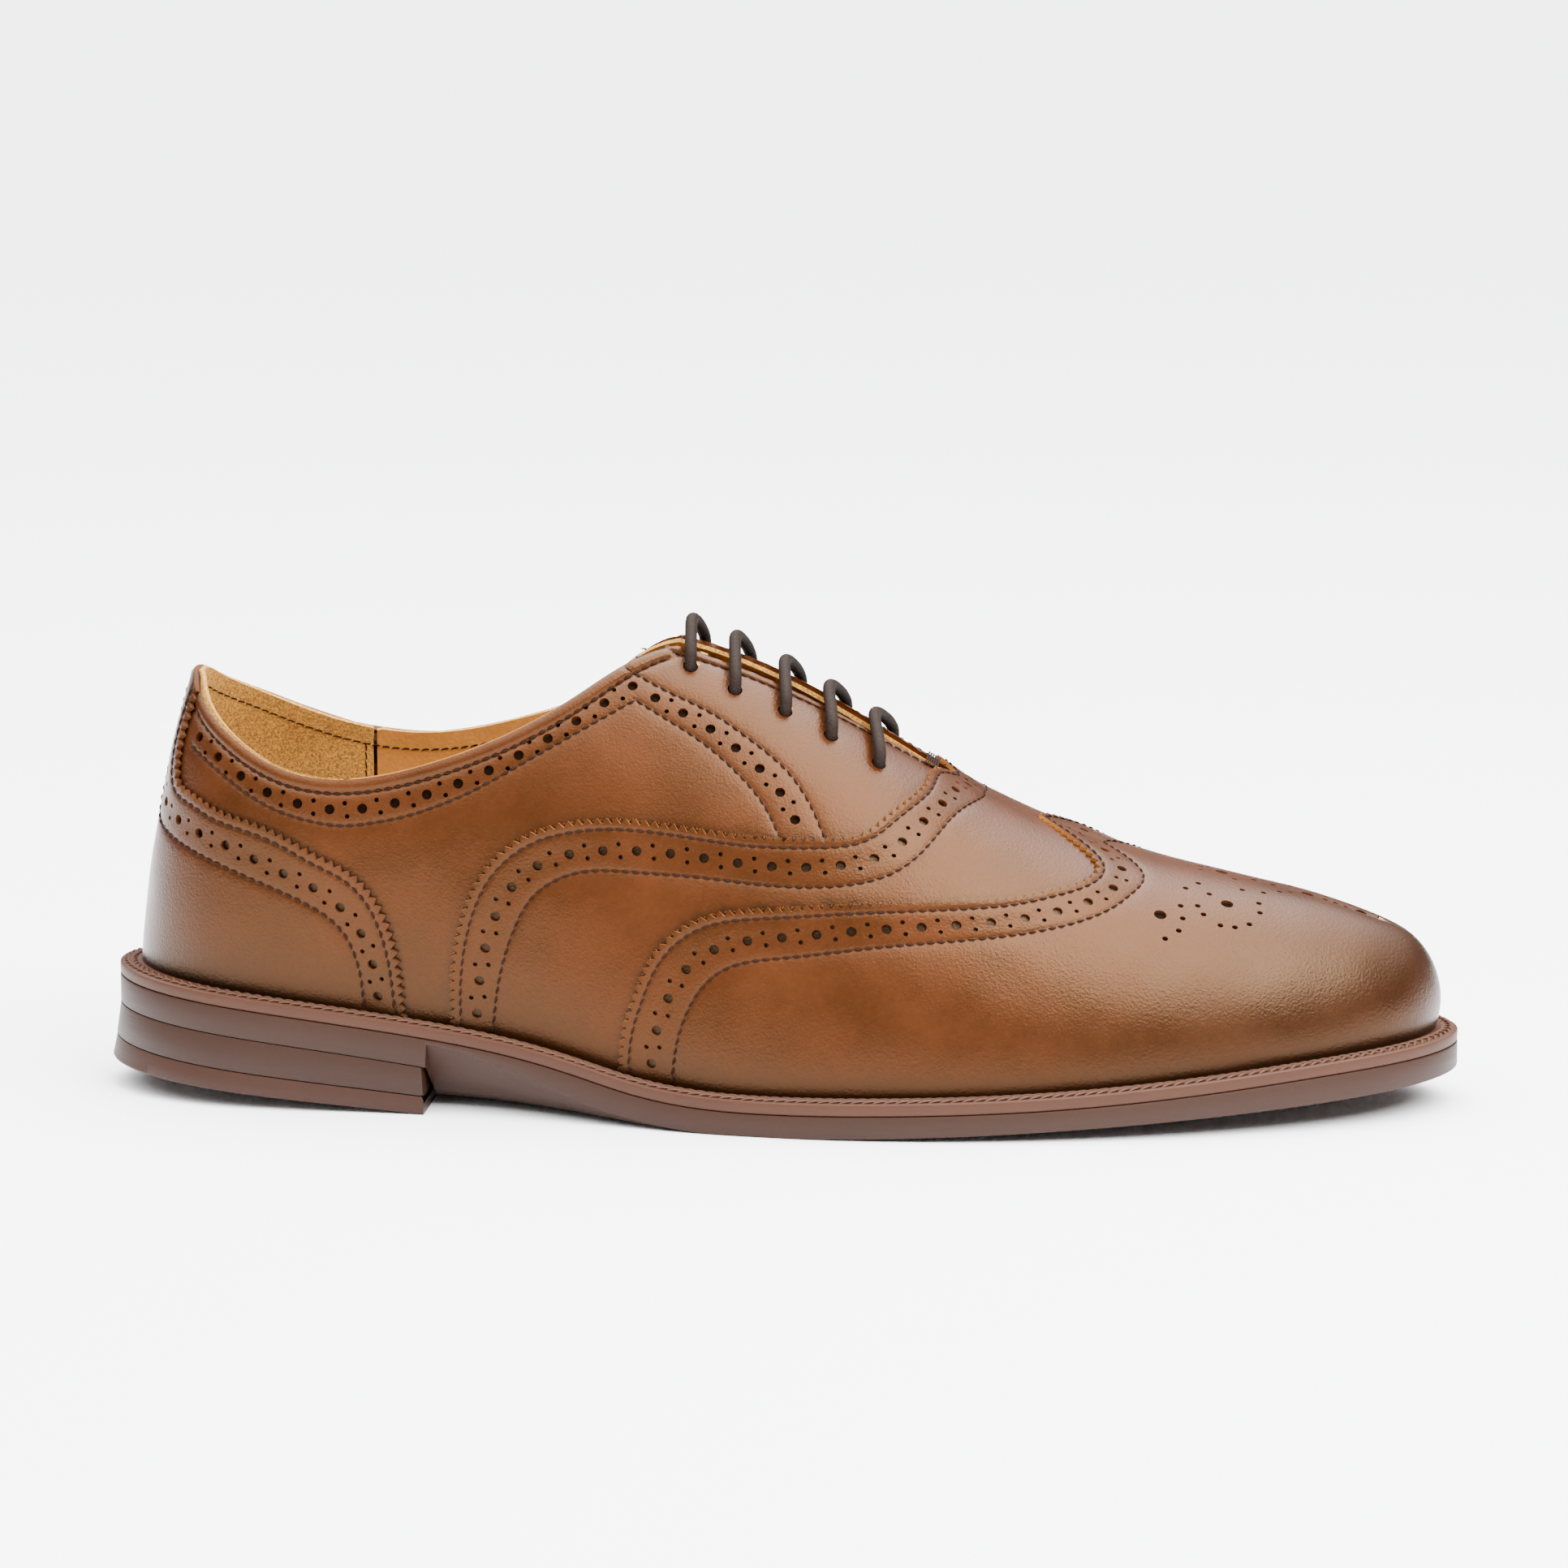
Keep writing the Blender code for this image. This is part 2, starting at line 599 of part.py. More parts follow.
def cork_filler():
    loops = [plan_loop(WELT_INSET + GAP), shank_loop(GAP)]
    slab("cork_filler", loops, over_welt(-GAP / 2), over_welt(-WELT + GAP / 2),
         material("cork", (0.40, 0.24, 0.12), 0.95))


def shank():
    slab("shank", [shank_loop(0)], over_welt(-WELT + SHANK), over_welt(-WELT + GAP / 2),
         material("shank_steel", (0.5, 0.5, 0.52), 0.3, 1.0))


# ---------------------------------------------------------------- upper

def topline(side, start, end):
    """Topline of one side between two stations, from front to back."""
    table = LATERAL_TOPLINE if side == "lateral" else MEDIAL_TOPLINE
    height = open_cubic(table[::-1])
    stations = np.linspace(start, end, max(2, math.ceil(abs(end - start) / 0.25)) + 1)
    return np.stack([stations, height(stations)], -1) * PATTERN


def top_height(side, s):
    table = LATERAL_TOPLINE if side == "lateral" else MEDIAL_TOPLINE
    return float(open_cubic(table[::-1])(s))


def shell_ring(side, s, t, radius, count=12):
    """Circle on one side of the shell as a hole of the lateral pattern."""
    step = 0.001
    mirrored = side == "medial"
    s = TOUR - s if mirrored else s
    by_s = (shell(s + step, t) - shell(s - step, t)) / (2 * step)
    by_t = (shell(s, t + step) - shell(s, t - step)) / (2 * step)
    across = by_s / np.linalg.norm(by_s)
    upward = np.cross(shell_normal(s, t), across)
    frame = np.array([[by_s @ across, by_t @ across], [by_s @ upward, by_t @ upward]])
    turns = 2 * math.pi * np.arange(count) / count
    wanted = radius * np.stack([np.cos(turns), np.sin(turns)])
    ring = (np.array([[s], [t]]) + np.linalg.solve(frame, wanted)).T
    if mirrored:
        ring[:, 0] = TOUR - ring[:, 0]
    return ring * PATTERN


def eyelet_holes(side, radius):
    return [shell_ring(side, s, t, radius) for s, t in EYELETS]


def quarter(side):
    back, low = UNDER_FOXING[0]
    edge = joined(along(0, UNDER_FOXING[-1][0], QUARTER_FRONT[0][0]), seam(QUARTER_FRONT),
                  seam([QUARTER_FRONT[-1], FACING_EDGE[0]]), seam(FACING_EDGE),
                  topline(side, FACING_EDGE[-1][0], back), up(back, top_height(side, back), low),
                  seam(UNDER_FOXING))
    holes = eyelet_holes(side, EYELET_TUBE + QUARTER_EASE)
    panel("quarter_" + side, [edge] + holes, side, at_offset(0.0), LEATHER,
          material("quarter_leather_" + side, TAN, 0.42))


def quarter_lining(side):
    rear = GRIP_SEAM + 0.03
    edge = joined(along(0, rear, LINING_SEAM[0][0]), seam(LINING_SEAM),
                  seam([LINING_SEAM[-1], FACING_EDGE[0]]), seam(FACING_EDGE),
                  topline(side, FACING_EDGE[-1][0], rear), up(rear, top_height(side, rear), 0))
    holes = eyelet_holes(side, EYELET_TUBE + LINING_EASE)
    panel("quarter_lining_" + side, [edge] + holes, side, at_offset(-LEVEL), LINING,
          material("quarter_lining_" + side, GOLD_SUEDE, 0.7))


def heel_grip():
    halves = []
    for side in ("lateral", "medial"):
        halves.append(joined(along(0, 0, GRIP_SEAM), up(GRIP_SEAM, 0, top_height(side, GRIP_SEAM)),
                             topline(side, GRIP_SEAM, 0.0), up(0, LATERAL_TOPLINE[-1][1], 0)))
    two_sided("heel_grip", *halves, at_offset(-LEVEL), LINING, material("heel_grip_suede", GOLD_SUEDE, 0.9))


def heel_foxing():
    halves = []
    top = FOXING_SEAM[-1][0]
    for side in ("lateral", "medial"):
        edge = seam(FOXING_SEAM[:-1] + [(top, top_height(side, top))])
        halves.append(joined(along(0, 0, FOXING_SEAM[0][0]), edge,
                             topline(side, top, 0.0), up(0, LATERAL_TOPLINE[-1][1], 0)))
    two_sided("heel_foxing", *halves, at_offset(LEVEL), LEATHER, material("foxing_leather", TAN, 0.42))


def two_sided(name, lateral, medial, place, thickness, look):
    """Panel whose halves differ, welded down the back line."""
    one = panel(name + "_half", [lateral], "lateral", place, thickness, look)
    two = panel(name, [medial], "medial", place, thickness, look)
    made = bmesh.new()
    made.from_mesh(one.data)
    made.from_mesh(two.data)
    bmesh.ops.remove_doubles(made, verts=made.verts, dist=0.00005)
    made.to_mesh(two.data)
    made.free()
    bpy.data.objects.remove(one, do_unlink=True)


def counter_stiffener():
    """Moulded heel stiffener, between the lining and the foxing."""
    rear = moved_seam(UNDER_FOXING, -0.04, -0.008)
    rear[0, 0] = 0.0
    edge = joined(along(0, 0, rear[-1][0]), reversed_run(seam(rear)), up(0, rear[0][1], 0))
    panel("counter_stiffener", [edge], "both", at_offset(0.0), LEATHER, material("counter_board", BUFF, 0.85))


def vamp():
    edge = joined(along(0, VAMP_SEAM[0][0], UNDER_CAP[0][0]), seam(UNDER_CAP),
                  along(1, UNDER_CAP[-1][0], VAMP_SEAM[-1][0]), reversed_run(seam(VAMP_SEAM)))
    panel("vamp", [edge], "both", at_offset(LEVEL), LEATHER, material("vamp_leather", TAN, 0.42))


def vamp_doubler():
    """Textile backer under the vamp, between the quarters and the toe puff."""
    rear = moved_seam(QUARTER_FRONT, 0.04, -0.008)
    station, rise = rear[-1]
    edge = joined(along(0, rear[0][0], UNDER_CAP[0][0]), seam(UNDER_CAP),
                  along(1, UNDER_CAP[-1][0], station), seam([(station, 1), (station, rise)]),
                  reversed_run(seam(rear)))
    panel("vamp_doubler", [edge], "both", at_offset(0.0), LEATHER, material("doubler_cloth", BUFF, 0.9))


def toe_puff():
    rear = moved_seam(UNDER_CAP, 0.04, -0.008)
    edge = joined(along(0, rear[0][0], STATIONS), up(STATIONS, 0, 1),
                  along(1, STATIONS, rear[-1][0]), reversed_run(seam(rear)))
    panel("toe_puff", [edge], "both", at_offset(LEVEL), 2 * LEATHER + GAP, material("puff_board", BUFF, 0.85))


def wing_cap():
    edge = joined(along(0, CAP_SEAM[0][0], STATIONS), up(STATIONS, 0, 1),
                  along(1, STATIONS, CAP_SEAM[-1][0]), reversed_run(seam(CAP_SEAM)))
    panel("wing_cap", [edge], "both", at_offset(2 * LEVEL), LEATHER, material("cap_leather", TAN, 0.38))


def vamp_lining():
    rear = moved_seam(LINING_SEAM, 0.03, -0.006)
    station, rise = rear[-1]
    edge = joined(along(0, rear[0][0], STATIONS), up(STATIONS, 0, 1),
                  along(1, STATIONS, station), seam([(station, 1), (station, rise)]),
                  reversed_run(seam(rear)))
    panel("vamp_lining", [edge], "both", at_offset(-LEVEL), LINING, material("vamp_lining_cloth", BUFF, 0.8))


# ---------------------------------------------------------------- tongue and lacing

TONGUE_STRAIGHT = 5.0   # station above which the tongue runs on straight, free of the shell


def tongue_place(drop):
    """Close under the lining at the sewn base, then lower to leave the lace its room."""
    def place(s, t):
        turned = np.where(s > STATIONS, TOUR - s, s)
        held = np.maximum(turned, TONGUE_STRAIGHT)
        near = -(LEVEL + LINING + GAP)
        depth = near + (TONGUE_DEPTH - near) * np.clip((TONGUE_BASE - held) / 0.55, 0, 1) - drop
        point = on_shell(np.where(s > STATIONS, TOUR - held, held), t, depth)
        onwards = (shell(TONGUE_STRAIGHT, 1.0) - shell(TONGUE_STRAIGHT + 0.3, 1.0)) / 0.3
        return point + (held - turned)[:, None] * onwards
    return place


def tongue_piece(name, drop, thickness, look):
    edge = joined(seam(TONGUE_SIDE), seam([TONGUE_SIDE[-1], (TONGUE_BASE, 1)]),
                  along(1, TONGUE_BASE, TONGUE_TOP), seam([(TONGUE_TOP, 1), TONGUE_SIDE[0]]))
    return panel(name, [edge], "both", tongue_place(drop), thickness, look)


def tongue():
    """Leather and lining, hung from an empty on the fold line at the sewn base."""
    fold = bpy.data.objects.new("tongue_fold", None)
    fold.location = lace_point("lateral", TONGUE_BASE, 1.0, -(LEVEL + LINING + GAP + TONGUE / 2))
    shoe.objects.link(fold)
    leather = tongue_piece("tongue", 0.0, TONGUE, material("tongue_leather", TAN, 0.45))
    backing = tongue_piece("tongue_lining", TONGUE + GAP, LINING, material("tongue_lining", GOLD_SUEDE, 0.8))
    for piece in (leather, backing):
        piece.parent = fold
        piece.location = -fold.location


def eyelets():
    """Blind eyelets: tubes through quarter and lining, with a flange inside the shoe."""
    inner_end = -(LEVEL + LINING + FLANGE_EASE)
    profile = [(EYELET_BORE, inner_end - EYELET_SHEET), (EYELET_FLANGE, inner_end - EYELET_SHEET),
               (EYELET_FLANGE, inner_end), (EYELET_TUBE, inner_end), (EYELET_TUBE, -GAP),
               (EYELET_BORE, -GAP)]
    look = material("eyelet_brass", (0.35, 0.22, 0.10), 0.35, 1.0)
    for side in ("lateral", "medial"):
        for i, (s, t) in enumerate(EYELETS):
            station = s if side == "lateral" else TOUR - s
            mesh = bpy.data.meshes.new("eyelet")
            loop = [(k, (k + 1) % len(profile)) for k in range(len(profile))]
            mesh.from_pydata([(r, 0, z) for r, z in profile], loop, [])
            mesh.materials.append(look)
            item = bpy.data.objects.new(f"eyelet_{side}_{i + 1}", mesh)
            shoe.objects.link(item)
            turn = item.modifiers.new("turn", 'SCREW')
            turn.steps = turn.render_steps = 14
            turn.use_merge_vertices = True
            turn.merge_threshold = 0.0001
            turn.use_normal_calculate = True
            turn.use_normal_flip = True
            normal = Vector(shell_normal(station, t))
            facing = normal.to_track_quat('Z', 'Y').to_matrix().to_4x4()
            item.matrix_world = Matrix.Translation(lace_point(side, s, t, 0.0)) @ facing


def lace_point(side, s, t, offset):
    station = s if side == "lateral" else TOUR - s
    point = shell(station, t) + shell_normal(station, t) * offset
    return Vector(point) - Vector((CENTRE, 0, 0))


SIDEWAYS = 0.043        # a run passes an eyelet it skips this far from it, as a share of t
BAR_ARCH = [(0.022, 0.0003), (0.07, 0.0008)]  # a bar's way ahead of the eyelet in t, and its lift
BAR_CREST = 0.0010


def lace_through(side, number, outwards):
    """Points along an eyelet's axis, from inside to outside or back."""
    s, t = EYELETS[number - 1]
    points = [lace_point(side, s, t, LACE_DEPTH), lace_point(side, s, t, LACE_DEPTH / 2),
              lace_point(side, s, t, 0.0004)]
    return points if outwards else points[::-1]


def lace_bar(number, start):
    """Bar across the facings from one eyelet to its partner."""
    s, t = EYELETS[number - 1]
    other = "medial" if start == "lateral" else "lateral"
    rise = LACE + 0.0006
    climb = [lace_point(start, s, t + ahead, rise + lift) for ahead, lift in BAR_ARCH]
    middle = [lace_point(start, s, 1.0, rise + BAR_CREST)]
    fall = [lace_point(other, s, t + ahead, rise + lift) for ahead, lift in reversed(BAR_ARCH)]
    return (lace_through(start, number, True) + climb + middle + fall
            + lace_through(other, number, False))


def lace_under(side, skipped, sideways):
    """Turn inside the shoe past an eyelet that the run skips."""
    s, t = EYELETS[skipped - 1]
    return [lace_point(side, s, t + sideways, LACE_DEPTH)]


def tucked_end(side, sideways):
    """End of the lace, tucked down between the facing and the tongue."""
    s, t = EYELETS[0]
    return [lace_point(side, s - 0.35, t + sideways - 0.03, LACE_DEPTH),
            lace_point(side, s, t + sideways, LACE_DEPTH)]


def lace():
    route = tucked_end("lateral", SIDEWAYS)
    route += lace_bar(2, "lateral") + lace_under("medial", 3, -SIDEWAYS)
    route += lace_bar(4, "medial") + lace_bar(5, "lateral") + lace_under("medial", 4, SIDEWAYS)
    route += lace_bar(3, "medial") + lace_under("lateral", 2, -SIDEWAYS) + lace_bar(1, "lateral")
    s, t = EYELETS[0]
    route += [lace_point("medial", s - 0.35, t - 0.03, LACE_DEPTH)]
    points = smooth_route(route, 0.0022)
    data = bpy.data.curves.new("lace", 'CURVE')
    data.dimensions = '3D'
    data.bevel_depth = LACE
    data.bevel_resolution = 1
    data.use_fill_caps = True
    line = data.splines.new('POLY')
    line.points.add(len(points) - 1)
    for target, point in zip(line.points, points):
        target.co = (*point, 1.0)
    data.materials.append(material("lace_cord", (0.045, 0.028, 0.02), 0.75))
    item = bpy.data.objects.new("lace", data)
    shoe.objects.link(item)


def between(a, b, low, high, u):
    return (a * (high - u) + b * (u - low)) / (high - low)


def smooth_route(points, step):
    """Centripetal Catmull-Rom run through the points."""
    points = np.array([tuple(p) for p in points])
    padded = np.concatenate([[2 * points[0] - points[1]], points, [2 * points[-1] - points[-2]]])
    run = []
    for a, b, c, d in zip(padded, padded[1:], padded[2:], padded[3:]):
        chords = [np.linalg.norm(b - a), np.linalg.norm(c - b), np.linalg.norm(d - c)]
        k = np.concatenate([[0.0], np.cumsum(np.sqrt(chords))])
        count = max(2, round(float(chords[1]) / step))
        for u in np.linspace(k[1], k[2], count, endpoint=False):
            ab = between(a, b, k[0], k[1], u)
            bc = between(b, c, k[1], k[2], u)
            cd = between(c, d, k[2], k[3], u)
            abc = between(ab, bc, k[0], k[2], u)
            bcd = between(bc, cd, k[1], k[3], u)
            run.append(between(abc, bcd, k[1], k[2], u))
    run.append(points[-1])
    return run


def bar_tack():
    """Sewn bar that closes the throat, across the ends of the two facings."""
    place = lace_point("lateral", 6.72, 1.0, 0.0009)
    bpy.ops.mesh.primitive_cylinder_add(vertices=10, radius=0.0005, depth=0.012, location=place,
                                        rotation=(math.pi / 2, 0, 0))
    item = bpy.context.object
    item.name = item.data.name = "bar_tack"
    item.data.materials.append(material("bar_tack_thread", (0.05, 0.025, 0.015), 0.8))
    for other in list(item.users_collection):
        other.objects.unlink(item)
    shoe.objects.link(item)


outsole()
welt()
heel_lift()
heel_top_piece()
cork_filler()
shank()
insole()
sock_lining()
for hand in ("lateral", "medial"):
    quarter(hand)
    quarter_lining(hand)
heel_grip()
counter_stiffener()
heel_foxing()
vamp_lining()
vamp_doubler()
toe_puff()
vamp()
wing_cap()
tongue()
eyelets()
lace()
bar_tack()
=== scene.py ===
"""Looks of the right shoe of a wing-cap oxford pair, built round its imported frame.

Metres, +Z up, the toe towards +X and the lateral side towards -Y. The sections follow the
order in which a shoemaker puts the shoe together, from the outsole to the lace.
"""
import json
import math
import random

import bmesh
import bpy
import numpy as np
from mathutils import Matrix, Vector, noise
from mathutils.geometry import delaunay_2d_cdt
from mathutils.kdtree import KDTree

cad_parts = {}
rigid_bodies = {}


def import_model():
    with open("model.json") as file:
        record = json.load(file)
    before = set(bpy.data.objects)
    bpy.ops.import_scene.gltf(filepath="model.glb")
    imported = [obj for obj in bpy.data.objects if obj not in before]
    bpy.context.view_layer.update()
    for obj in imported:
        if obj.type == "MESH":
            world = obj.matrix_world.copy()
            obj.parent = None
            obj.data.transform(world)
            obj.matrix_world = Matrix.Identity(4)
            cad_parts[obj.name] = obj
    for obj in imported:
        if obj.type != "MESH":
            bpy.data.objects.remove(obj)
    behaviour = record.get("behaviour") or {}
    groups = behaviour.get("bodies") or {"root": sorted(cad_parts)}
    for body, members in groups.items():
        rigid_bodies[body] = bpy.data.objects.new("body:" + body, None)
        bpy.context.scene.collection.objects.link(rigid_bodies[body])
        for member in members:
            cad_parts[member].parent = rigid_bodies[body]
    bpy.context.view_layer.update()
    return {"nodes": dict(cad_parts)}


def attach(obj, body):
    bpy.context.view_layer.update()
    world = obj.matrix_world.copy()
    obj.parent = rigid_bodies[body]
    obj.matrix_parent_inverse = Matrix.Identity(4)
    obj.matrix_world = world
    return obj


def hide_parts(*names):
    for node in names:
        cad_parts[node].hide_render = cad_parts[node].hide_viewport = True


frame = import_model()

MM = 0.001


# ------------------------------------------------------------------ camera and studio
# A long lens a little above the shoe, on the lateral side and turned slightly to the heel.
# The shoe stands on a plain pale sweep, under two wide soft boxes and a white ceiling.

def srgb(code):
    """Linear RGBA of an sRGB hex colour."""
    parts = [int(code[i:i + 2], 16) / 255 for i in (1, 3, 5)]
    linear = [c / 12.92 if c <= 0.04045 else ((c + 0.055) / 1.055) ** 2.4 for c in parts]
    return (*linear, 1.0)


def put(material, kind, inputs=None, **settings):
    """Adds a node; an input is either a number or colour, or the socket it is linked to."""
    tree = material.node_tree
    made = tree.nodes.new(kind)
    for key, value in settings.items():
        setattr(made, key, value)
    for key, value in (inputs or {}).items():
        if isinstance(value, bpy.types.NodeSocket):
            tree.links.new(value, made.inputs[key])
        else:
            made.inputs[key].default_value = value
    return made


def finish_named(name):
    """New material whose Principled shader is at hand as its first node."""
    made = bpy.data.materials.new(name)
    made.use_nodes = True
    return made, made.node_tree.nodes["Principled BSDF"]


def link(material, output, shader, socket):
    material.node_tree.links.new(output, shader.inputs[socket])


TURN = math.radians(5.3)
HEIGHT = math.radians(11.0)
AIM_UP = math.radians(1.034)
DISTANCE = 1.440
LOOK_AT = Vector((0.001, 0, 0.0457))
AWAY = Vector((math.sin(TURN) * math.cos(HEIGHT), -math.cos(TURN) * math.cos(HEIGHT), math.sin(HEIGHT)))
camera = bpy.data.objects.new("camera", bpy.data.cameras.new("camera"))
bpy.context.scene.collection.objects.link(camera)
camera.location = LOOK_AT + AWAY * DISTANCE
camera.data.sensor_width = 36.0
camera.data.lens = 142.5
camera.rotation_mode = 'QUATERNION'
camera.rotation_quaternion = (-AWAY).to_track_quat('-Z', 'Y')
camera.rotation_quaternion = camera.rotation_quaternion @ Matrix.Rotation(AIM_UP, 4, 'X').to_quaternion()
bpy.context.scene.camera = camera


def soft_box(name, place, size, power, aim=(0, 0, 0.04)):
    lamp = bpy.data.lights.new(name, 'AREA')
    lamp.shape = 'RECTANGLE'
    lamp.size, lamp.size_y = size
    lamp.energy = power
    item = bpy.data.objects.new(name, lamp)
    bpy.context.scene.collection.objects.link(item)
    item.location = place
    item.rotation_mode = 'QUATERNION'
    item.rotation_quaternion = (Vector(aim) - Vector(place)).to_track_quat('-Z', 'Y')


soft_box("top_box", (0.15, 0.10, 1.1), (1.4, 0.9), 30.0)
soft_box("key_box", (0.70, -0.75, 1.0), (0.9, 0.7), 44.0)
soft_box("front_box", (-0.45, -1.3, 0.7), (1.0, 0.7), 3.0)
room = bpy.data.worlds.new("studio_room")
bpy.context.scene.world = room
room.use_nodes = True
# The white ceiling is the room's light; its walls are dim.
way = put(room, "ShaderNodeTexCoord").outputs["Generated"]
upwards = put(room, "ShaderNodeSeparateXYZ", {"Vector": way}).outputs["Z"]
glow = put(room, "ShaderNodeMapRange", {"Value": upwards, "From Min": 0.45, "From Max": 0.95,
                                        "To Min": 0.3, "To Max": 11.0})
backdrop = room.node_tree.nodes["Background"]
backdrop.inputs["Color"].default_value = srgb("#FFFFFF")
room.node_tree.links.new(glow.outputs[0], backdrop.inputs["Strength"])


def new_object(name, points, faces, materials, indices=None):
    mesh = bpy.data.meshes.new(name)
    mesh.from_pydata([tuple(map(float, p)) for p in points], [], faces)
    for item in materials:
        mesh.materials.append(item)
    if indices is not None:
        mesh.polygons.foreach_set("material_index", indices)
    made = bpy.data.objects.new(name, mesh)
    bpy.context.scene.collection.objects.link(made)
    return made


# Uncoated background paper: a cold, faintly grey white without any shine.
paper, shader = finish_named("matte_paper_sweep")
shader.inputs["Base Color"].default_value = srgb("#F4F5F7")
shader.inputs["Roughness"].default_value = 0.75
REACH = 6
floor = new_object("sweep", [(-REACH, -REACH, 0), (REACH, -REACH, 0), (REACH, REACH, 0), (-REACH, REACH, 0)],
                   [(0, 1, 2, 3)], [paper])


# ------------------------------------------------------------------ outsole
# One rubber moulding: heel seat, bevelled waist, flat tread and toe spring. It is cemented
# and stitched under the welt, and its edge is milled and inked brown.

LENGTH = 0.312
CENTRE = 0.155          # heel back to the middle of the whole shoe
HALF_TOUR = 11
TOUR = 22
LATERAL_EDGE = [(0, 0), (7, -17.5), (27, -30), (58, -34), (95, -37.5), (135, -47),
                (175, -52.5), (215, -50.5), (252, -42.5), (282, -31), (303, -16.5), (312, 3)]
MEDIAL_EDGE = [(0, 0), (7, 17), (27, 29), (58, 31.5), (95, 29), (135, 32),
               (175, 44), (215, 52.5), (252, 49.5), (282, 39), (303, 23), (312, 3)]
WELT_TOP = [(0, 28.8), (30, 26.1), (53, 23.6), (76, 20.7), (99, 17.0), (111, 14.3), (124, 11.0),
            (140, 8.7), (160, 8.2), (185, 8.7), (222, 10.2), (258, 13.0), (285, 15.5), (312, 17.2)]
WAIST_BOTTOM = [(77, 2.6), (92, 2.0), (112, 1.2), (130, 0.4), (140, 0)]
WELT = 2.8 * MM
SEAT = 6.8 * MM
BREAST = 77 * MM
TREAD_START = 140 * MM
TREAD_END = 162 * MM
TOE_SPRING = 8.4 * MM
WAIST_EDGE = 1.3 * MM


def closed_cubic(values):
    """Smooth closed curve through the values, one per unit of its parameter."""
    values = np.asarray(values, float)
    count = len(values)
    ident = np.eye(count)
    system = 4 * ident + np.roll(ident, 1, 0) + np.roll(ident, -1, 0)
    bend = np.linalg.solve(system, 6 * (np.roll(values, -1, 0) - 2 * values + np.roll(values, 1, 0)))

    def at(s):
        s = np.mod(np.asarray(s, float), count)
        i = np.floor(s).astype(int) % count
        j = (i + 1) % count
        w = (s - np.floor(s))[..., None]
        return ((1 - w) * values[i] + w * values[j]
                + (((1 - w) ** 3 - (1 - w)) * bend[i] + (w ** 3 - w) * bend[j]) / 6)
    return at


def open_cubic(points):
    """Smooth profile through (position, value) points, value by position."""
    xs, zs = np.asarray(points, float).T
    count = len(xs)
    h = np.diff(xs)
    system = np.eye(count)
    right = np.zeros(count)
    for i in range(1, count - 1):
        system[i, i - 1:i + 2] = h[i - 1], 2 * (h[i - 1] + h[i]), h[i]
        right[i] = 6 * ((zs[i + 1] - zs[i]) / h[i] - (zs[i] - zs[i - 1]) / h[i - 1])
    bend = np.linalg.solve(system, right)

    def at(x):
        x = np.clip(np.asarray(x, float), xs[0], xs[-1])
        i = np.clip(np.searchsorted(xs, x) - 1, 0, count - 2)
        a = (xs[i + 1] - x) / h[i]
        b = 1 - a
        bending = (a ** 3 - a) * bend[i] + (b ** 3 - b) * bend[i + 1]
        return a * zs[i] + b * zs[i + 1] + bending * h[i] ** 2 / 6
    return at


def round_loop(lateral, medial):
    return closed_cubic(list(lateral) + list(medial)[-2:0:-1])


outline = round_loop(np.array(LATERAL_EDGE) * MM, np.array(MEDIAL_EDGE) * MM)
welt_top = open_cubic(np.array(WELT_TOP) * MM)
waist_bottom = open_cubic(np.array(WAIST_BOTTOM) * MM)


def inset_outline(s, inset):
    """Points of the outline moved inwards, and the outward direction at each."""
    s = np.asarray(s, float)
    tangent = outline(s + 0.001) - outline(s - 0.001)
    tangent /= np.linalg.norm(tangent, axis=-1, keepdims=True)
    outward = np.stack([tangent[..., 1], -tangent[..., 0]], -1)
    return outline(s) - outward * np.asarray(inset)[..., None], outward


def smooth_step(x):
    x = np.clip(x, 0, 1)
    return x * x * (3 - 2 * x)


def waist_share(x):
    """1 at the breast, falling to 0 where the bevelled waist runs out into the tread."""
    return smooth_step((TREAD_START + 0.010 - x) / (TREAD_START + 0.010 - BREAST))


def sole_middle(x):
    if x < BREAST:
        return float(welt_top(x)) - WELT - SEAT
    if x < TREAD_START:
        return float(waist_bottom(x))
    return TOE_SPRING * max(0.0, (x - TREAD_END) / (LENGTH - TREAD_END)) ** 1.35


def outsole_profile(s):
    """Edge of the outsole at a station as (inset, height), from its top face to its tread."""
    x = float(outline(s)[0])
    top = float(welt_top(x)) - WELT - 0.1 * MM
    low = sole_middle(x)
    share = float(waist_share(x)) if x > BREAST else 0.0
    edge = low + (top - WAIST_EDGE - low) * share
    bevel = 0.5 * MM + 10 * MM * share
    return [(5 * MM, top), (0.45 * MM, top), (0.12 * MM, top - 0.12 * MM), (0, top - 0.4 * MM),
            (0, (top + edge) / 2), (0, edge + 0.45 * MM), (0.13 * MM, edge + 0.14 * MM),
            (0.45 * MM, edge), (0.45 * MM + 0.35 * bevel, edge + (low - edge) * 0.52),
            (0.45 * MM + 0.7 * bevel, edge + (low - edge) * 0.86), (0.45 * MM + bevel, low)]


def cross_sections(stations, profile, across=10):
    """Rings of a sole layer, each a section across the shoe between station s and its mirror."""
    rings = []
    for s in stations:
        sides = []
        for station in (s, TOUR - s):
            rows = profile(station)
            flat = [inset_outline(station, inset)[0] for inset, _ in rows]
            sides.append([(float(p[0]), float(p[1]), z) for p, (_, z) in zip(flat, rows)])
        one, two = (np.array(side) for side in sides)
        share = np.linspace(0, 1, across + 1)[1:-1, None]
        low = one[-1] * (1 - share) + two[-1] * share
        high = two[0] * (1 - share) + one[0] * share
        rings.append(np.concatenate([one, low, two[::-1], high]))
    return rings


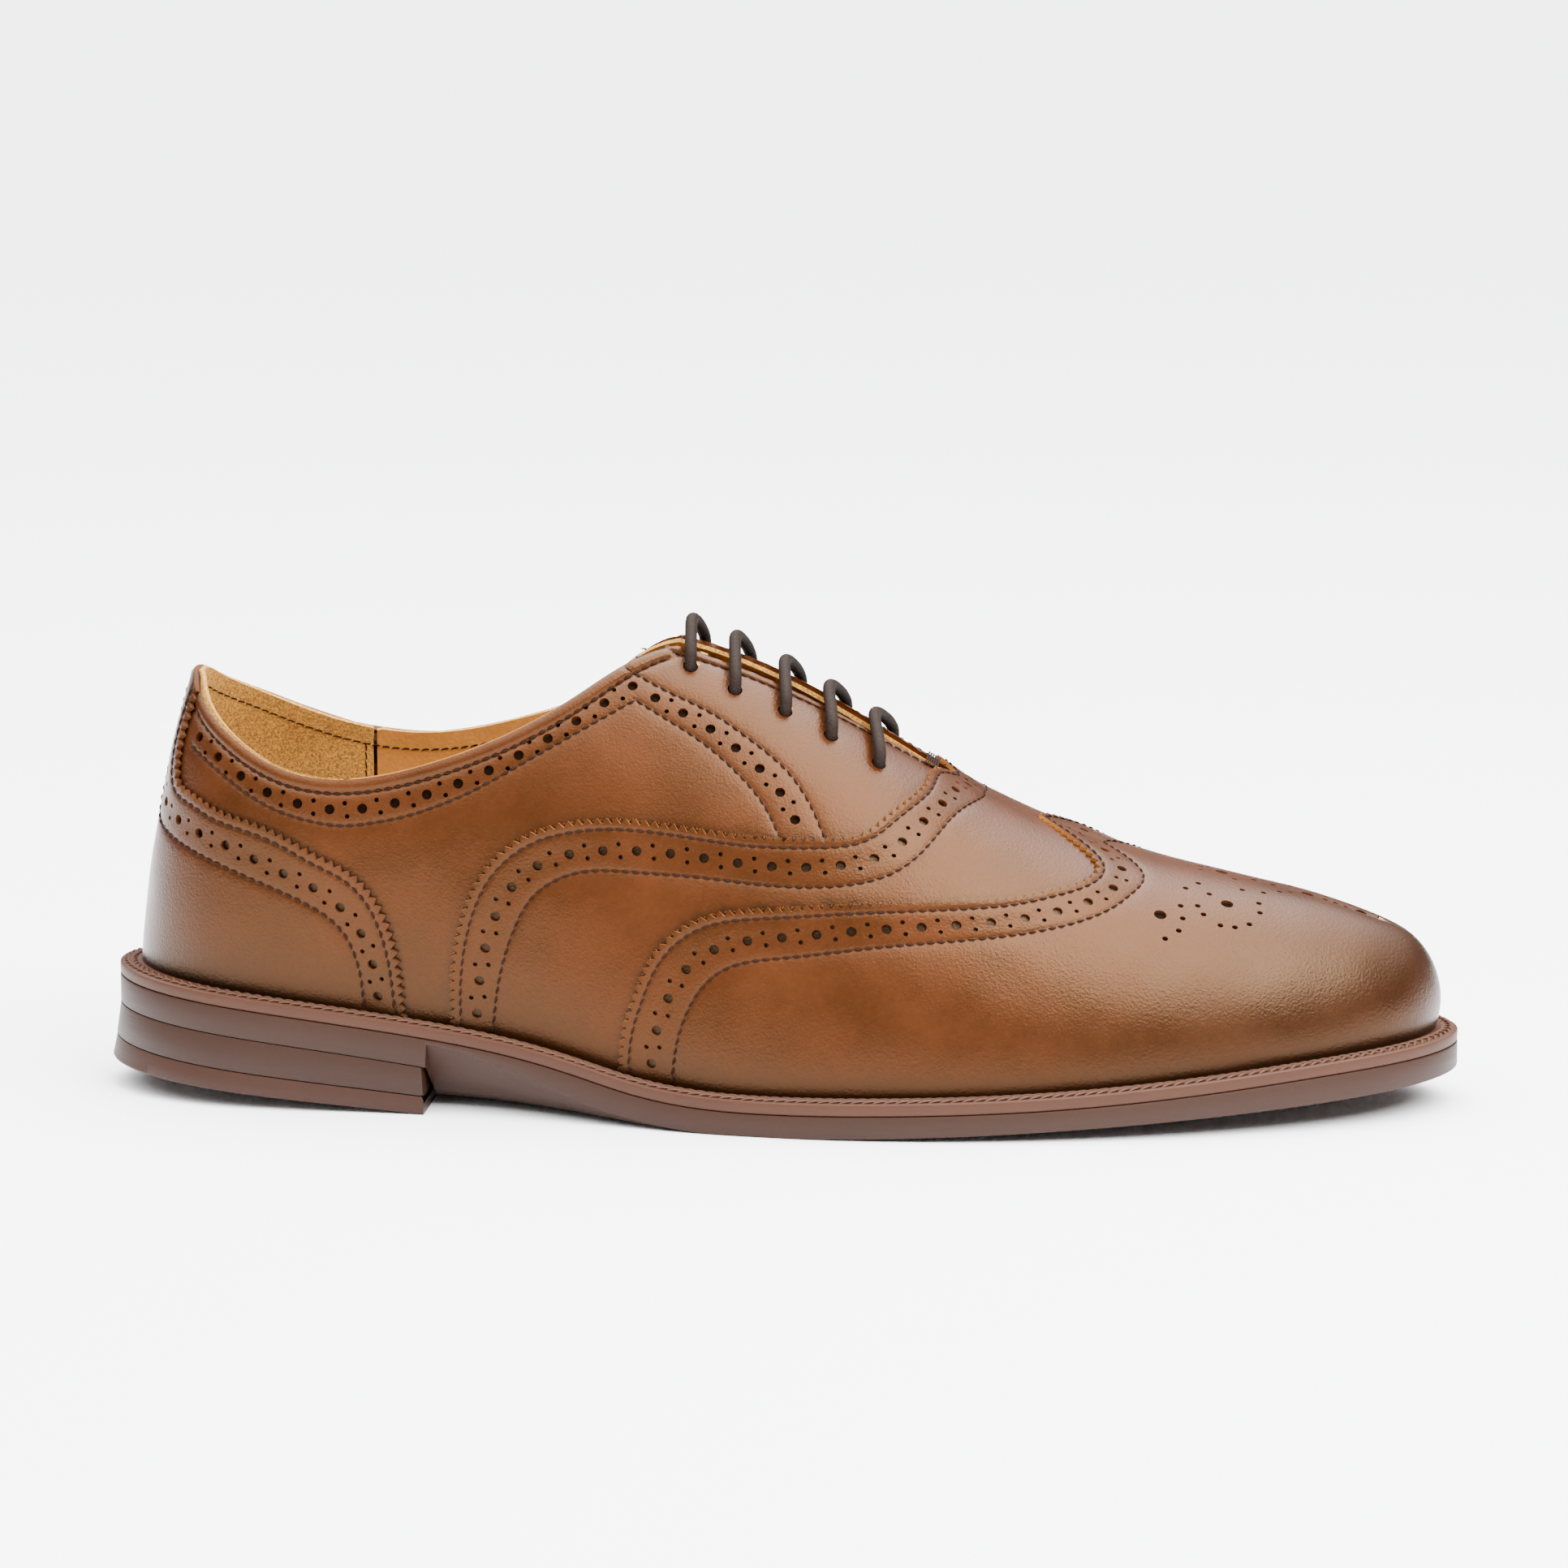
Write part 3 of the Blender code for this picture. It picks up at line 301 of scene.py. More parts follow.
def smoothed(item, weld=0.0, sharp=40):
    """Welds and orients the mesh, and shades it smooth with edges above an angle kept sharp."""
    work = bmesh.new()
    work.from_mesh(item.data)
    if weld:
        bmesh.ops.remove_doubles(work, verts=work.verts, dist=weld)
        bmesh.ops.dissolve_degenerate(work, edges=work.edges, dist=1e-7)
    bmesh.ops.recalc_face_normals(work, faces=work.faces)
    work.to_mesh(item.data)
    work.free()
    item.data.shade_smooth()
    item.data.set_sharp_from_angle(angle=math.radians(sharp))
    return item


def lofted(name, rings, materials, cap_end=False):
    """Skin through closed rings of the same count; the rings' points are in the shell's x."""
    count = len(rings[0])
    points = np.concatenate(rings) - (CENTRE, 0, 0)
    faces = []
    for i in range(len(rings) - 1):
        for k in range(count):
            m = (k + 1) % count
            faces.append((i * count + k, i * count + m, (i + 1) * count + m, (i + 1) * count + k))
    if cap_end:
        faces.append(tuple(range((len(rings) - 1) * count, len(rings) * count)))
    return smoothed(new_object(name, points, faces, materials), weld=0.00002, sharp=35)


def on_shoe(item, slot, *nodes, body="shoe"):
    """Piece that stands for CAD nodes and rides on a body; the slot argument is not used."""
    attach(item, body)
    if nodes:
        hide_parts(*nodes)
    return item


# Vulcanised rubber, inked and waxed at the edge: even brown, satin, faint mill marks along it.
def moulded_rubber(name, colour, tint, roughness, mark=0.35 * MM, depth=0.05 * MM):
    made, shader = finish_named(name)
    place = put(made, "ShaderNodeTexCoord").outputs["Object"]
    drawn = put(made, "ShaderNodeMapping", {"Vector": place, "Scale": (0.03, 0.03, 1.0)})
    marks = put(made, "ShaderNodeTexNoise", {"Vector": drawn.outputs[0], "Scale": 1 / mark, "Detail": 3.0})
    cloud = put(made, "ShaderNodeTexNoise", {"Vector": place, "Scale": 1 / 0.02, "Detail": 4.0})
    mix = put(made, "ShaderNodeMix", {0: cloud.outputs[0], 6: srgb(colour), 7: srgb(tint)}, data_type='RGBA')
    link(made, mix.outputs[2], shader, "Base Color")
    spread = put(made, "ShaderNodeMapRange", {"Value": marks.outputs[0], "To Min": roughness - 0.06,
                                              "To Max": roughness + 0.08})
    link(made, spread.outputs[0], shader, "Roughness")
    bump = put(made, "ShaderNodeBump", {"Height": marks.outputs[0], "Strength": 0.25, "Distance": depth})
    link(made, bump.outputs[0], shader, "Normal")
    shader.inputs["Specular IOR Level"].default_value = 0.2
    return made


sole_rubber = moulded_rubber("vulcanised_sole_rubber", "#2A150A", "#241208", 0.5)
BREAST_STATION = 3.52
while float(outline(BREAST_STATION)[0]) < BREAST:
    BREAST_STATION += 0.001
STEP = 0.004
stations = np.sort(np.concatenate([np.arange(0, HALF_TOUR + 0.01, 0.05),
                                   [0.012, 0.025, 10.975, 10.988],
                                   [BREAST_STATION - STEP, BREAST_STATION + STEP]]))
outsole = lofted("outsole_moulding", cross_sections(stations, outsole_profile), [sole_rubber])
on_shoe(outsole, "sole_rubber", "outsole")


# ------------------------------------------------------------------ heel
# A stacked heel: one lift of the sole's rubber and a harder top piece, each with a fine
# bevel at its edges that shows as a dark line between the layers. It flares a little back.

HEEL_TIP = 6.2 * MM
LIFT_BACK = 11.5 * MM
LIFT_BREAST = 4.2 * MM


def heel_layer(name, top, bottom, flares, look, edge=0.22 * MM):
    """Layer of the heel from the back to the breast; flares are at its top and bottom."""
    at = np.concatenate([[0.0, 0.01, 0.025], np.arange(0.05, BREAST_STATION - 0.02, 0.05), [BREAST_STATION]])

    def profile(s):
        x = float(outline(s)[0])
        back = max(0.0, 1 - x / BREAST)
        high, low = top(x), bottom(x)
        over, under = (-flare * back for flare in flares)
        return [(4 * MM, high), (edge + over, high), (edge * 0.3 + over, high - edge * 0.3),
                (over, high - edge), ((over + under) / 2, (high + low) / 2), (under, low + edge * 1.6),
                (edge * 0.5 + under, low + edge * 0.45), (edge * 1.6 + under, low), (4 * MM, low)]

    rings = cross_sections(at, profile, 6)
    rings = [np.minimum(ring, (BREAST - 0.6 * MM, 1, 1)) for ring in rings]
    return lofted(name, rings, [look], cap_end=True)


def lift_joint(x):
    return LIFT_BACK + (LIFT_BREAST - LIFT_BACK) * x / BREAST


def heel_ground(x):
    return HEEL_TIP * max(0.0, 1 - (x + 0.6 * MM) / BREAST)


lift_rubber = moulded_rubber("heel_lift_rubber", "#29150B", "#231108", 0.48)
top_piece_rubber = moulded_rubber("top_piece_rubber", "#2E180E", "#28140A", 0.50)
lift = heel_layer("heel_lift_block", lambda x: sole_middle(x) - 0.05 * MM,
                  lambda x: lift_joint(x) + 0.05 * MM, (0.0, 1.0 * MM), lift_rubber)
on_shoe(lift, "heel_rubber", "heel_lift")
top_piece = heel_layer("heel_top_piece_block", lambda x: lift_joint(x) - 0.05 * MM, heel_ground,
                       (1.0 * MM, 2.0 * MM), top_piece_rubber, edge=0.3 * MM)
on_shoe(top_piece, "top_piece_rubber", "heel_top_piece")


# ------------------------------------------------------------------ welt
# A moulded rubber strip round the whole shoe, with a braided line of stitches along its top.

WELT_INSET = 14.2 * MM
AROUND = np.arange(0, TOUR, 0.04)


def hoop(name, profile, look):
    """Closed profile of (inset, height over the welt's top) carried round the outline."""
    rings = []
    for s in AROUND:
        x = float(outline(s)[0])
        base = float(welt_top(x))
        flat = [inset_outline(s, inset)[0] for inset, _ in profile]
        rings.append(np.array([(float(p[0]), float(p[1]), base + z) for p, (_, z) in zip(flat, profile)]))
    rings.append(rings[0])
    return lofted(name, rings, [look])


welt_rubber = moulded_rubber("welt_rubber_strip", "#321A0E", "#3C2113", 0.52)
strip = hoop("welt_strip", [(WELT_INSET, 0), (1.6 * MM, 0), (0.75 * MM, 0.05 * MM), (0.4 * MM, -0.02 * MM),
                            (0.12 * MM, -0.2 * MM), (0, -0.5 * MM), (0, -1.4 * MM), (0.05 * MM, -2.2 * MM),
                            (0.1 * MM, -WELT + 0.25 * MM), (0.35 * MM, -WELT), (WELT_INSET, -WELT)],
             welt_rubber)
on_shoe(strip, "welt_rubber", "welt")


def along_outline(inset, pitch):
    """Stations at even steps of real length round the outline."""
    fine = np.linspace(0, TOUR, 2201)
    flat = inset_outline(fine, np.full(len(fine), inset))[0]
    length = np.concatenate([[0], np.cumsum(np.linalg.norm(np.diff(flat, axis=0), axis=1))])
    count = int(round(length[-1] / pitch))
    return np.interp(np.arange(count) * length[-1] / count, length, fine)


def strokes(name, starts, ends, lifts, radius, arch, look, sides=6, parts=6):
    """Short threads from start to end, arched along their lift direction and sunk at the ends."""
    starts, ends, lifts = (np.asarray(v, float) for v in (starts, ends, lifts))
    run = ends - starts
    length = np.linalg.norm(run, axis=1, keepdims=True)
    run = run / length
    side = np.cross(lifts, run)
    side /= np.linalg.norm(side, axis=1, keepdims=True)
    points = []
    for j in range(parts + 1):
        u = j / parts
        swell = math.sin(math.pi * min(max(u, 0.06), 0.94)) ** 0.5
        rise = arch * (1 - (2 * u - 1) ** 2) - arch * 0.5
        middle = starts + run * length * u + lifts * rise
        for k in range(sides):
            turn = 2 * math.pi * k / sides
            points.append(middle + (side * math.cos(turn) + lifts * math.sin(turn)) * radius * swell)
    count = len(starts)
    stacked = np.stack(points, 1).reshape(-1, 3)
    each = (parts + 1) * sides
    template = []
    for j in range(parts):
        for k in range(sides):
            m = (k + 1) % sides
            template.append((j * sides + k, j * sides + m, (j + 1) * sides + m, (j + 1) * sides + k))
    caps = [tuple(range(sides))[::-1], tuple(range(parts * sides, each))]
    faces = [tuple(v + n * each for v in face) for n in range(count) for face in template + caps]
    item = new_object(name, stacked - (CENTRE, 0, 0), faces, [look])
    return smoothed(item, sharp=60)


# Waxed linen thread moulded into the rubber: the same brown, lighter where it is rubbed.
braid_thread = moulded_rubber("waxed_braid_thread", "#452817", "#301B0F", 0.6, mark=0.2 * MM)
BRAID_PITCH = 2.5 * MM
spots = along_outline(2.6 * MM, BRAID_PITCH)
turn_by = spots[1] - spots[0]
starts, ends = [], []
for s in spots:
    for (inset_a, shift_a), (inset_b, shift_b) in (((0.9 * MM, 0.0), (2.5 * MM, 0.75)),
                                                    ((2.2 * MM, 0.95), (4.3 * MM, 0.0))):
        for spot, shift, inset in ((starts, shift_a, inset_a), (ends, shift_b, inset_b)):
            flat = inset_outline(s + turn_by * shift, inset)[0]
            spot.append((flat[0], flat[1], float(welt_top(flat[0])) + 0.12 * MM))
upright = np.tile((0, 0, 1.0), (len(starts), 1))
braid = strokes("welt_braid", starts, ends, upright, 0.42 * MM, 0.5 * MM, braid_thread)
on_shoe(braid, "welt_rubber")


# ------------------------------------------------------------------ insole and sock
# Fibre board insole on the welt, with a smooth leather sock glued over it. The cork filler
# and the steel shank lie under the board and stay as they are.

def layer_profile(inset, low, high):
    def profile(s):
        base = float(welt_top(float(outline(s)[0])))
        return [(inset + 0.2 * MM, base + high), (inset, base + high - 0.2 * MM), (inset, base + low)]
    return profile


def grained_leather(name, light, mid, dark, roughness, grain=0.6 * MM, depth=0.11 * MM):
    """Chrome-tanned calf: fine pebbled grain, hand-stained, and darker where its point attribute holds
    darkening and painted shade.
    """
    made, shader = finish_named(name)
    place = put(made, "ShaderNodeTexCoord").outputs["Object"]
    cells = put(made, "ShaderNodeTexVoronoi", {"Vector": place, "Scale": 1 / grain, "Randomness": 1.0},
                feature='SMOOTH_F1')
    hair = put(made, "ShaderNodeTexNoise", {"Vector": place, "Scale": 1 / (grain * 0.6), "Detail": 3.0})
    tone_patches = put(made, "ShaderNodeTexNoise", {"Vector": place, "Scale": 1 / 0.022, "Detail": 5.0,
                                             "Roughness": 0.6})
    speck = put(made, "ShaderNodeTexNoise", {"Vector": place, "Scale": 1 / 0.0012, "Detail": 2.0})
    share = put(made, "ShaderNodeMapRange", {"Value": tone_patches.outputs[0], "From Min": 0.35, "From Max": 0.65})
    body = put(made, "ShaderNodeMix", {0: share.outputs[0], 6: srgb(mid), 7: srgb(light)}, data_type='RGBA')
    # The point attribute holds darkening and painted shade, and pulls the colour towards the dark tone.
    darkening_and_painted_shade = put(made, "ShaderNodeAttribute", attribute_name="darkening_and_painted_shade")
    darkened_and_shaded = put(made, "ShaderNodeMix", {0: darkening_and_painted_shade.outputs["Fac"], 6: body.outputs[2], 7: srgb(dark)},
                 data_type='RGBA')
    pores = put(made, "ShaderNodeMapRange", {"Value": speck.outputs[0], "From Min": 0.3, "From Max": 0.7,
                                             "To Min": 0.90, "To Max": 1.06})
    tone = put(made, "ShaderNodeHueSaturation", {"Color": darkened_and_shaded.outputs[2], "Value": pores.outputs[0]})
    link(made, tone.outputs[0], shader, "Base Color")
    gloss = put(made, "ShaderNodeMapRange", {"Value": tone_patches.outputs[0], "From Min": 0.3, "From Max": 0.7,
                                             "To Min": roughness - 0.05, "To Max": roughness + 0.07})
    link(made, gloss.outputs[0], shader, "Roughness")
    height = put(made, "ShaderNodeMath", {0: cells.outputs["Distance"], 1: hair.outputs[0]}, operation='ADD')
    bump = put(made, "ShaderNodeBump", {"Height": height.outputs[0], "Strength": 0.55, "Distance": depth})
    link(made, bump.outputs[0], shader, "Normal")
    shader.inputs["IOR"].default_value = 1.4
    shader.inputs["Specular IOR Level"].default_value = 0.5
    shader.inputs["Specular Tint"].default_value = srgb("#ECBC94")
    return made


# Undyed lining calf, golden and satin; grey-brown pressed board with a dull, hairy face.
lining_calf = grained_leather("golden_lining_calf", "#A87034", "#96622A", "#5E3810", 0.50, grain=0.8 * MM)
fibre_board = grained_leather("pressed_fibre_board", "#B79A72", "#AD8F66", "#8E7350", 0.85, grain=0.4 * MM)
SHOE_STATIONS = np.concatenate([[0, 0.012, 0.03], np.arange(0.1, HALF_TOUR, 0.1), [10.97, 10.988, 11]])
board = lofted("insole_board", cross_sections(SHOE_STATIONS, layer_profile(8.7 * MM, 0.3 * MM, 3.3 * MM)),
               [fibre_board])
on_shoe(board, "board", "insole")
sock = lofted("leather_sock", cross_sections(SHOE_STATIONS, layer_profile(9.0 * MM, 3.6 * MM, 4.6 * MM)),
              [lining_calf])
on_shoe(sock, "sock_leather", "sock_lining")
# Pressed cork: dry, pale brown crumbs of 1.5 mm, each with a darker skin.
cork_look, shader = finish_named("pressed_cork")
place = put(cork_look, "ShaderNodeTexCoord").outputs["Object"]
crumbs = put(cork_look, "ShaderNodeTexVoronoi", {"Vector": place, "Scale": 1 / 0.0015})
ramp = put(cork_look, "ShaderNodeMix", {0: crumbs.outputs["Distance"], 6: srgb("#A97C4E"),
                                        7: srgb("#6E4A2A")}, data_type='RGBA')
link(cork_look, ramp.outputs[2], shader, "Base Color")
shader.inputs["Roughness"].default_value = 0.95
# Rolled spring steel, blued: grey metal whose shine changes along the roll marks.
spring_steel, shader = finish_named("blued_spring_steel")
place = put(spring_steel, "ShaderNodeTexCoord").outputs["Object"]
rolled = put(spring_steel, "ShaderNodeTexNoise", {"Vector": place, "Scale": 1 / 0.002})
link(spring_steel, put(spring_steel, "ShaderNodeMapRange", {"Value": rolled.outputs[0], "To Min": 0.25,
                                                            "To Max": 0.45}).outputs[0], shader, "Roughness")
shader.inputs["Base Color"].default_value = srgb("#8C8F94")
shader.inputs["Metallic"].default_value = 1.0
for node, look in (("cork_filler", cork_look), ("shank", spring_steel)):
    frame["nodes"][node].data.materials.clear()
    frame["nodes"][node].data.materials.append(look)


# ------------------------------------------------------------------ linings and stiffeners
# The upper is lasted over one form, the shell. Its station s runs from the heel back (0) to
# the toe tip (11), and v from the lateral feather line (0) over the ridge (1) to the medial
# feather line (2). Inside it are golden calf quarter linings and a suede heel grip.

RIDGE = [(22, 0, 112.7), (27, 0, 115.7), (38, 0, 118.7), (62, 0, 117.7), (95, 0, 113.7),
         (130, 0, 108.7), (165, 0, 92.7), (200, 0, 72.2), (235, 0.5, 58.1), (264, 1.2, 51.1),
         (284, 2, 45.5), (293, 3, 41.9)]
LATERAL_SECTION = [(-0.4, 19, 8.5, 78.7), (0.5, 20, 20, 82.7), (2.5, 21, 32, 84.7),
                   (2, 20, 37, 85.7), (3, 22, 34, 98.7), (4, 26, 26, 106.5), (3, 24, 28, 92.1),
                   (2.5, 20, 28, 71.9), (2.5, 17, 25, 58.0), (3, 14, 20, 51.0),
                   (3.5, 12, 15, 45.2), (4, 11, 11, 41.2)]
MEDIAL_SECTION = [(-0.4, 19, 8.5, 78.7), (0.5, 20, 20, 82.7), (2.5, 21, 31, 84.7),
                  (2, 20, 35, 85.7), (3, 24, 32, 98.7), (4, 26, 26, 106.5), (3, 24, 28, 92.1),
                  (2.5, 20, 28, 71.9), (2.5, 17, 25, 58.0), (3, 14, 20, 51.0),
                  (3.5, 12, 15, 45.2), (4, 11, 11, 41.2)]
FEATHER_INSET = 5.3 * MM
FLOOR_GAP = 0.2 * MM
LEATHER = 1.2 * MM


def section_rails():
    """Four closed curves round the shoe that carry the shell's cubic sections."""
    sides = []
    for medial, table in ((False, LATERAL_SECTION), (True, MEDIAL_SECTION)):
        rows = []
        for i, (bulge, rise, shoulder, height) in enumerate(table):
            foot, outward = inset_outline(TOUR - i if medial else i, FEATHER_INSET)
            ridge = np.array(RIDGE[i]) * MM
            base = float(welt_top(foot[0])) + FLOOR_GAP
            away = foot - ridge[:2]
            away /= np.linalg.norm(away)
            side = foot + outward * bulge * MM
            top = ridge[:2] + away * shoulder * MM
            rows.append([(*foot, base), (*side, base + rise * MM), (*top, height * MM), tuple(ridge)])
        sides.append(rows)
    lateral, medial = sides
    return [round_loop([row[k] for row in lateral], [row[k] for row in medial]) for k in range(4)]


RAILS = section_rails()


def shell(s, t):
    t = np.asarray(t, float)[..., None]
    a, b, c, d = (rail(s) for rail in RAILS)
    return (1 - t) ** 3 * a + 3 * (1 - t) ** 2 * t * b + 3 * (1 - t) * t * t * c + t ** 3 * d


def on_form(sv):
    """Points of the form; past the ridge, the medial half is read back to front."""
    s, v = sv[:, 0], sv[:, 1]
    over = v > 1
    return shell(np.where(over, TOUR - s, s), np.where(over, 2 - v, v))


def form_normal(sv):
    """Outward normal, the same on both sides of the ridge."""
    by_s = on_form(sv + (0.004, 0)) - on_form(sv - (0.004, 0))
    low, high = np.clip(sv - (0, 0.004), -1, 3), np.clip(sv + (0, 0.004), -1, 3)
    low[:, 1] = np.where(sv[:, 1] < 0.004, sv[:, 1], low[:, 1])
    high[:, 1] = np.where(sv[:, 1] > 1.996, sv[:, 1], high[:, 1])
    normal = np.cross(by_s, on_form(high) - on_form(low))
    return normal / np.linalg.norm(normal, axis=1, keepdims=True)


def shifted(sv, vector):
    """Coordinates moved by a real vector along the surface."""
    h = 0.002
    by_s = (on_form(sv + (h, 0)) - on_form(sv - (h, 0))) / (2 * h)
    by_v = (on_form(sv + (0, h)) - on_form(sv - (0, h))) / (2 * h)
    aa, ab, bb = (by_s * by_s).sum(1), (by_s * by_v).sum(1), (by_v * by_v).sum(1)
    ra, rb = (by_s * vector).sum(1), (by_v * vector).sum(1)
    det = aa * bb - ab * ab
    return sv + np.stack([(bb * ra - ab * rb) / det, (aa * rb - ab * ra) / det], 1)


PATTERN = np.array([28.0, 88.0]) * MM    # about the real length of one unit of s and of v


def run_of(points, step=None, fine=600):
    """Smooth run through (s, v) points, at even steps of real length if a step is given."""
    points = np.asarray(points, float)
    chord = np.concatenate([[0], np.cumsum(np.linalg.norm(np.diff(points * PATTERN, axis=0), axis=1))])
    if len(points) == 2:
        dense = points[0] + (points[1] - points[0]) * np.linspace(0, 1, fine)[:, None]
    else:
        where = np.linspace(0, chord[-1], fine)
        dense = np.stack([open_cubic(list(zip(chord, points[:, k])))(where) for k in range(2)], 1)
    return evenly(dense, step) if step else dense


def lengths(dense):
    real = on_form(dense)
    return np.concatenate([[0], np.cumsum(np.linalg.norm(np.diff(real, axis=0), axis=1))])


def evenly(dense, step):
    length = lengths(dense)
    count = max(1, int(round(length[-1] / step)))
    where = np.linspace(0, length[-1], count + 1)
    return np.stack([np.interp(where, length, dense[:, k]) for k in range(2)], 1)


def mirrored(run):
    return np.stack([run[:, 0], 2 - run[:, 1]], 1)


def both_sides(points):
    """A lateral seam carried on over the ridge to its mirror image."""
    points = np.asarray(points, float)
    return np.concatenate([points, mirrored(points)[::-1][1 if points[-1, 1] == 1 else 0:]])


def tangents(run):
    real = on_form(run)
    tangent = np.gradient(real, axis=0)
    return tangent / np.linalg.norm(tangent, axis=1, keepdims=True)


def beside(run, distance):
    """The run moved sideways over the surface, to the left of its way if distance is positive."""
    side = np.cross(form_normal(run), tangents(run))
    return shifted(run, side * np.asarray(distance).reshape(-1, 1))


def ring(spot, radius, count=12, phase=0.0):
    """Circle of real radius round a point of the form."""
    spot = np.asarray(spot, float).reshape(1, 2)
    across = on_form(spot + (0.002, 0)) - on_form(spot)
    across /= np.linalg.norm(across)
    upward = np.cross(form_normal(spot), across)
    turns = 2 * math.pi * (np.arange(count) + phase) / count
    goal = on_form(spot) + radius * (np.cos(turns)[:, None] * across + np.sin(turns)[:, None] * upward)
    around = np.repeat(spot, count, 0)
    for _ in range(6):
        around = shifted(around, goal - on_form(around))
    return around


def distance_to(*runs):
    """Function of real points that gives their distance to the runs on the form."""
    near = np.concatenate([on_form(evenly(run, 0.5 * MM)) for run in runs])
    tree = KDTree(len(near))
    for i, point in enumerate(near):
        tree.insert(point, i)
    tree.balance()
    return lambda points: np.array([tree.find(p)[2] for p in points])


def inside(points, loop):
    """Which flat points lie inside a closed loop."""
    found = np.zeros(len(points), bool)
    x0, y0 = loop[:, 0], loop[:, 1]
    x1, y1 = np.roll(x0, -1), np.roll(y0, -1)
    rise = np.where(y1 == y0, 1, y1 - y0)
    for i in range(0, len(points), 2000):
        x, y = points[i:i + 2000, 0:1], points[i:i + 2000, 1:2]
        crossing = ((y0 > y) != (y1 > y)) & (x < x0 + (y - y0) * (x1 - x0) / rise)
        found[i:i + 2000] = crossing.sum(1) % 2 == 1
    return found


def lattice(step, low=(-0.2, -0.02), high=(11.02, 2.02)):
    rows = []
    for j, y in enumerate(np.arange(low[1] * PATTERN[1], high[1] * PATTERN[1], step * 0.87)):
        xs = np.arange(low[0] * PATTERN[0], high[0] * PATTERN[0], step) + (step / 2 if j % 2 else 0)
        rows.append(np.stack([xs, np.full(len(xs), y)], 1))
    return np.concatenate(rows)


def flat_cut(outer, holes, guides, step):
    """Triangles of a cut piece in its flat pattern, through its holes' and guides' points."""
    loops = [outer * PATTERN] + [hole * PATTERN for hole in holes]
    extra = lattice(step)
    fixed = np.concatenate(loops + [guide * PATTERN for guide in guides])
    tree = KDTree(len(fixed))
    for i, point in enumerate(fixed):
        tree.insert((*point, 0), i)
    tree.balance()
    extra = extra[inside(extra, loops[0])]
    extra = np.array([p for p in extra if tree.find((*p, 0))[2] > step * 0.55]).reshape(-1, 2)
    guide_points = [guide * PATTERN for guide in guides]
    if guide_points:
        rows = np.concatenate(guide_points)
        rows = rows[inside(rows, loops[0])]
        edge = KDTree(sum(map(len, loops)))
        for i, point in enumerate(np.concatenate(loops)):
            edge.insert((*point, 0), i)
        edge.balance()
        rows = np.array([p for p in rows if edge.find((*p, 0))[2] > 0.25 * MM]).reshape(-1, 2)
        extra = np.concatenate([extra, rows])
    points, edges = [], []
    for loop in loops:
        first = len(points)
        points += [Vector(p) for p in loop]
        edges += [(first + i, first + (i + 1) % len(loop)) for i in range(len(loop))]
    points += [Vector(p) for p in extra]
    found = delaunay_2d_cdt(points, edges, [], 2, 1e-7)
    flat = np.array([tuple(p) for p in found[0]])
    faces = np.array([tuple(face) for face in found[2]])
    middles = flat[faces].mean(1)
    kept = inside(middles, loops[0])
    for loop in loops[1:]:
        low, high = loop.min(0), loop.max(0)
        near = np.all((middles > low) & (middles < high), 1)
        kept[near] &= ~inside(middles[near], loop)
    used, again = np.unique(faces[kept], return_inverse=True)
    return flat[used] / PATTERN, again.reshape(-1, 3)


def darkening_and_painted_shade_at(points):
    """Darkening per point: darker towards the feather line and behind the heel, and a painted reflection of
    the dim room as a dark band half way up the toe.
    """
    x = points[:, 0] - CENTRE
    above = points[:, 2] - welt_top(points[:, 0])
    foot = 0.75 * np.exp(-above / 0.0035) + 0.22 * np.exp(-above / 0.016)
    # Painted reflection: the dim room mirrored as a dark band round the toe at mid height.
    toe = 0.62 * smooth_step((x - 0.045) / 0.08) * np.exp(-((above - 0.017) / 0.013) ** 2)
    heel = 0.30 * smooth_step((-0.085 - x) / 0.06) * np.exp(-above / 0.05)
    return np.clip(foot + toe + heel, 0, 1)


def thickened(name, outside, faces, real, looks, thickness, rim=0, tone_patches=0.0):
    """Solid sheet under its outer face, with its darkening and painted shade stored per point."""
    item = new_object(name, outside - (CENTRE, 0, 0), faces.tolist(), looks)
    dark = item.data.attributes.new("darkening_and_painted_shade", 'FLOAT', 'POINT')
    dark.data.foreach_set("value", np.clip(darkening_and_painted_shade_at(real) + tone_patches, 0, 1).astype(np.float32))
    # Where another piece laps it, the leather is skived to little more than half; the same share is added to
    # the darkening as painted shade under and beside the lapping edge.
    skived = item.vertex_groups.new(name="skived")
    for i, share in enumerate(np.broadcast_to(tone_patches, len(real))):
        skived.add([i], 1 - 0.45 * share, 'REPLACE')
    work = bmesh.new()
    work.from_mesh(item.data)
    bmesh.ops.remove_doubles(work, verts=work.verts, dist=0.00002)
    work.to_mesh(item.data)
    work.free()
    solid = item.modifiers.new("thickness", 'SOLIDIFY')
    solid.thickness = thickness
    solid.vertex_group = skived.name
    solid.offset = -1.0
    solid.use_even_offset = False
    solid.material_offset_rim = rim
    graph = bpy.context.evaluated_depsgraph_get()
    made = bpy.data.meshes.new_from_object(item.evaluated_get(graph))
    item.modifiers.clear()
    item.data = made
    item.data.shade_smooth()
    item.data.set_sharp_from_angle(angle=math.radians(48))
    return item


def cut_piece(name, outer, lift, looks, holes=(), guides=(), step=1.7 * MM, thickness=LEATHER, rim=0,
              tone_patches=None):
    """Piece of leather lasted over the form: lift gives its height over the form at real points."""
    sv, faces = flat_cut(outer, list(holes), list(guides), step)
    real = on_form(sv)
    outside = real + form_normal(sv) * lift(real, sv)[:, None]
    outside[:, 2] = np.maximum(outside[:, 2], welt_top(outside[:, 0]) + 0.1 * MM)
    return thickened(name, outside, faces, real, looks, thickness, rim, tone_patches(real, sv) if tone_patches else 0.0)


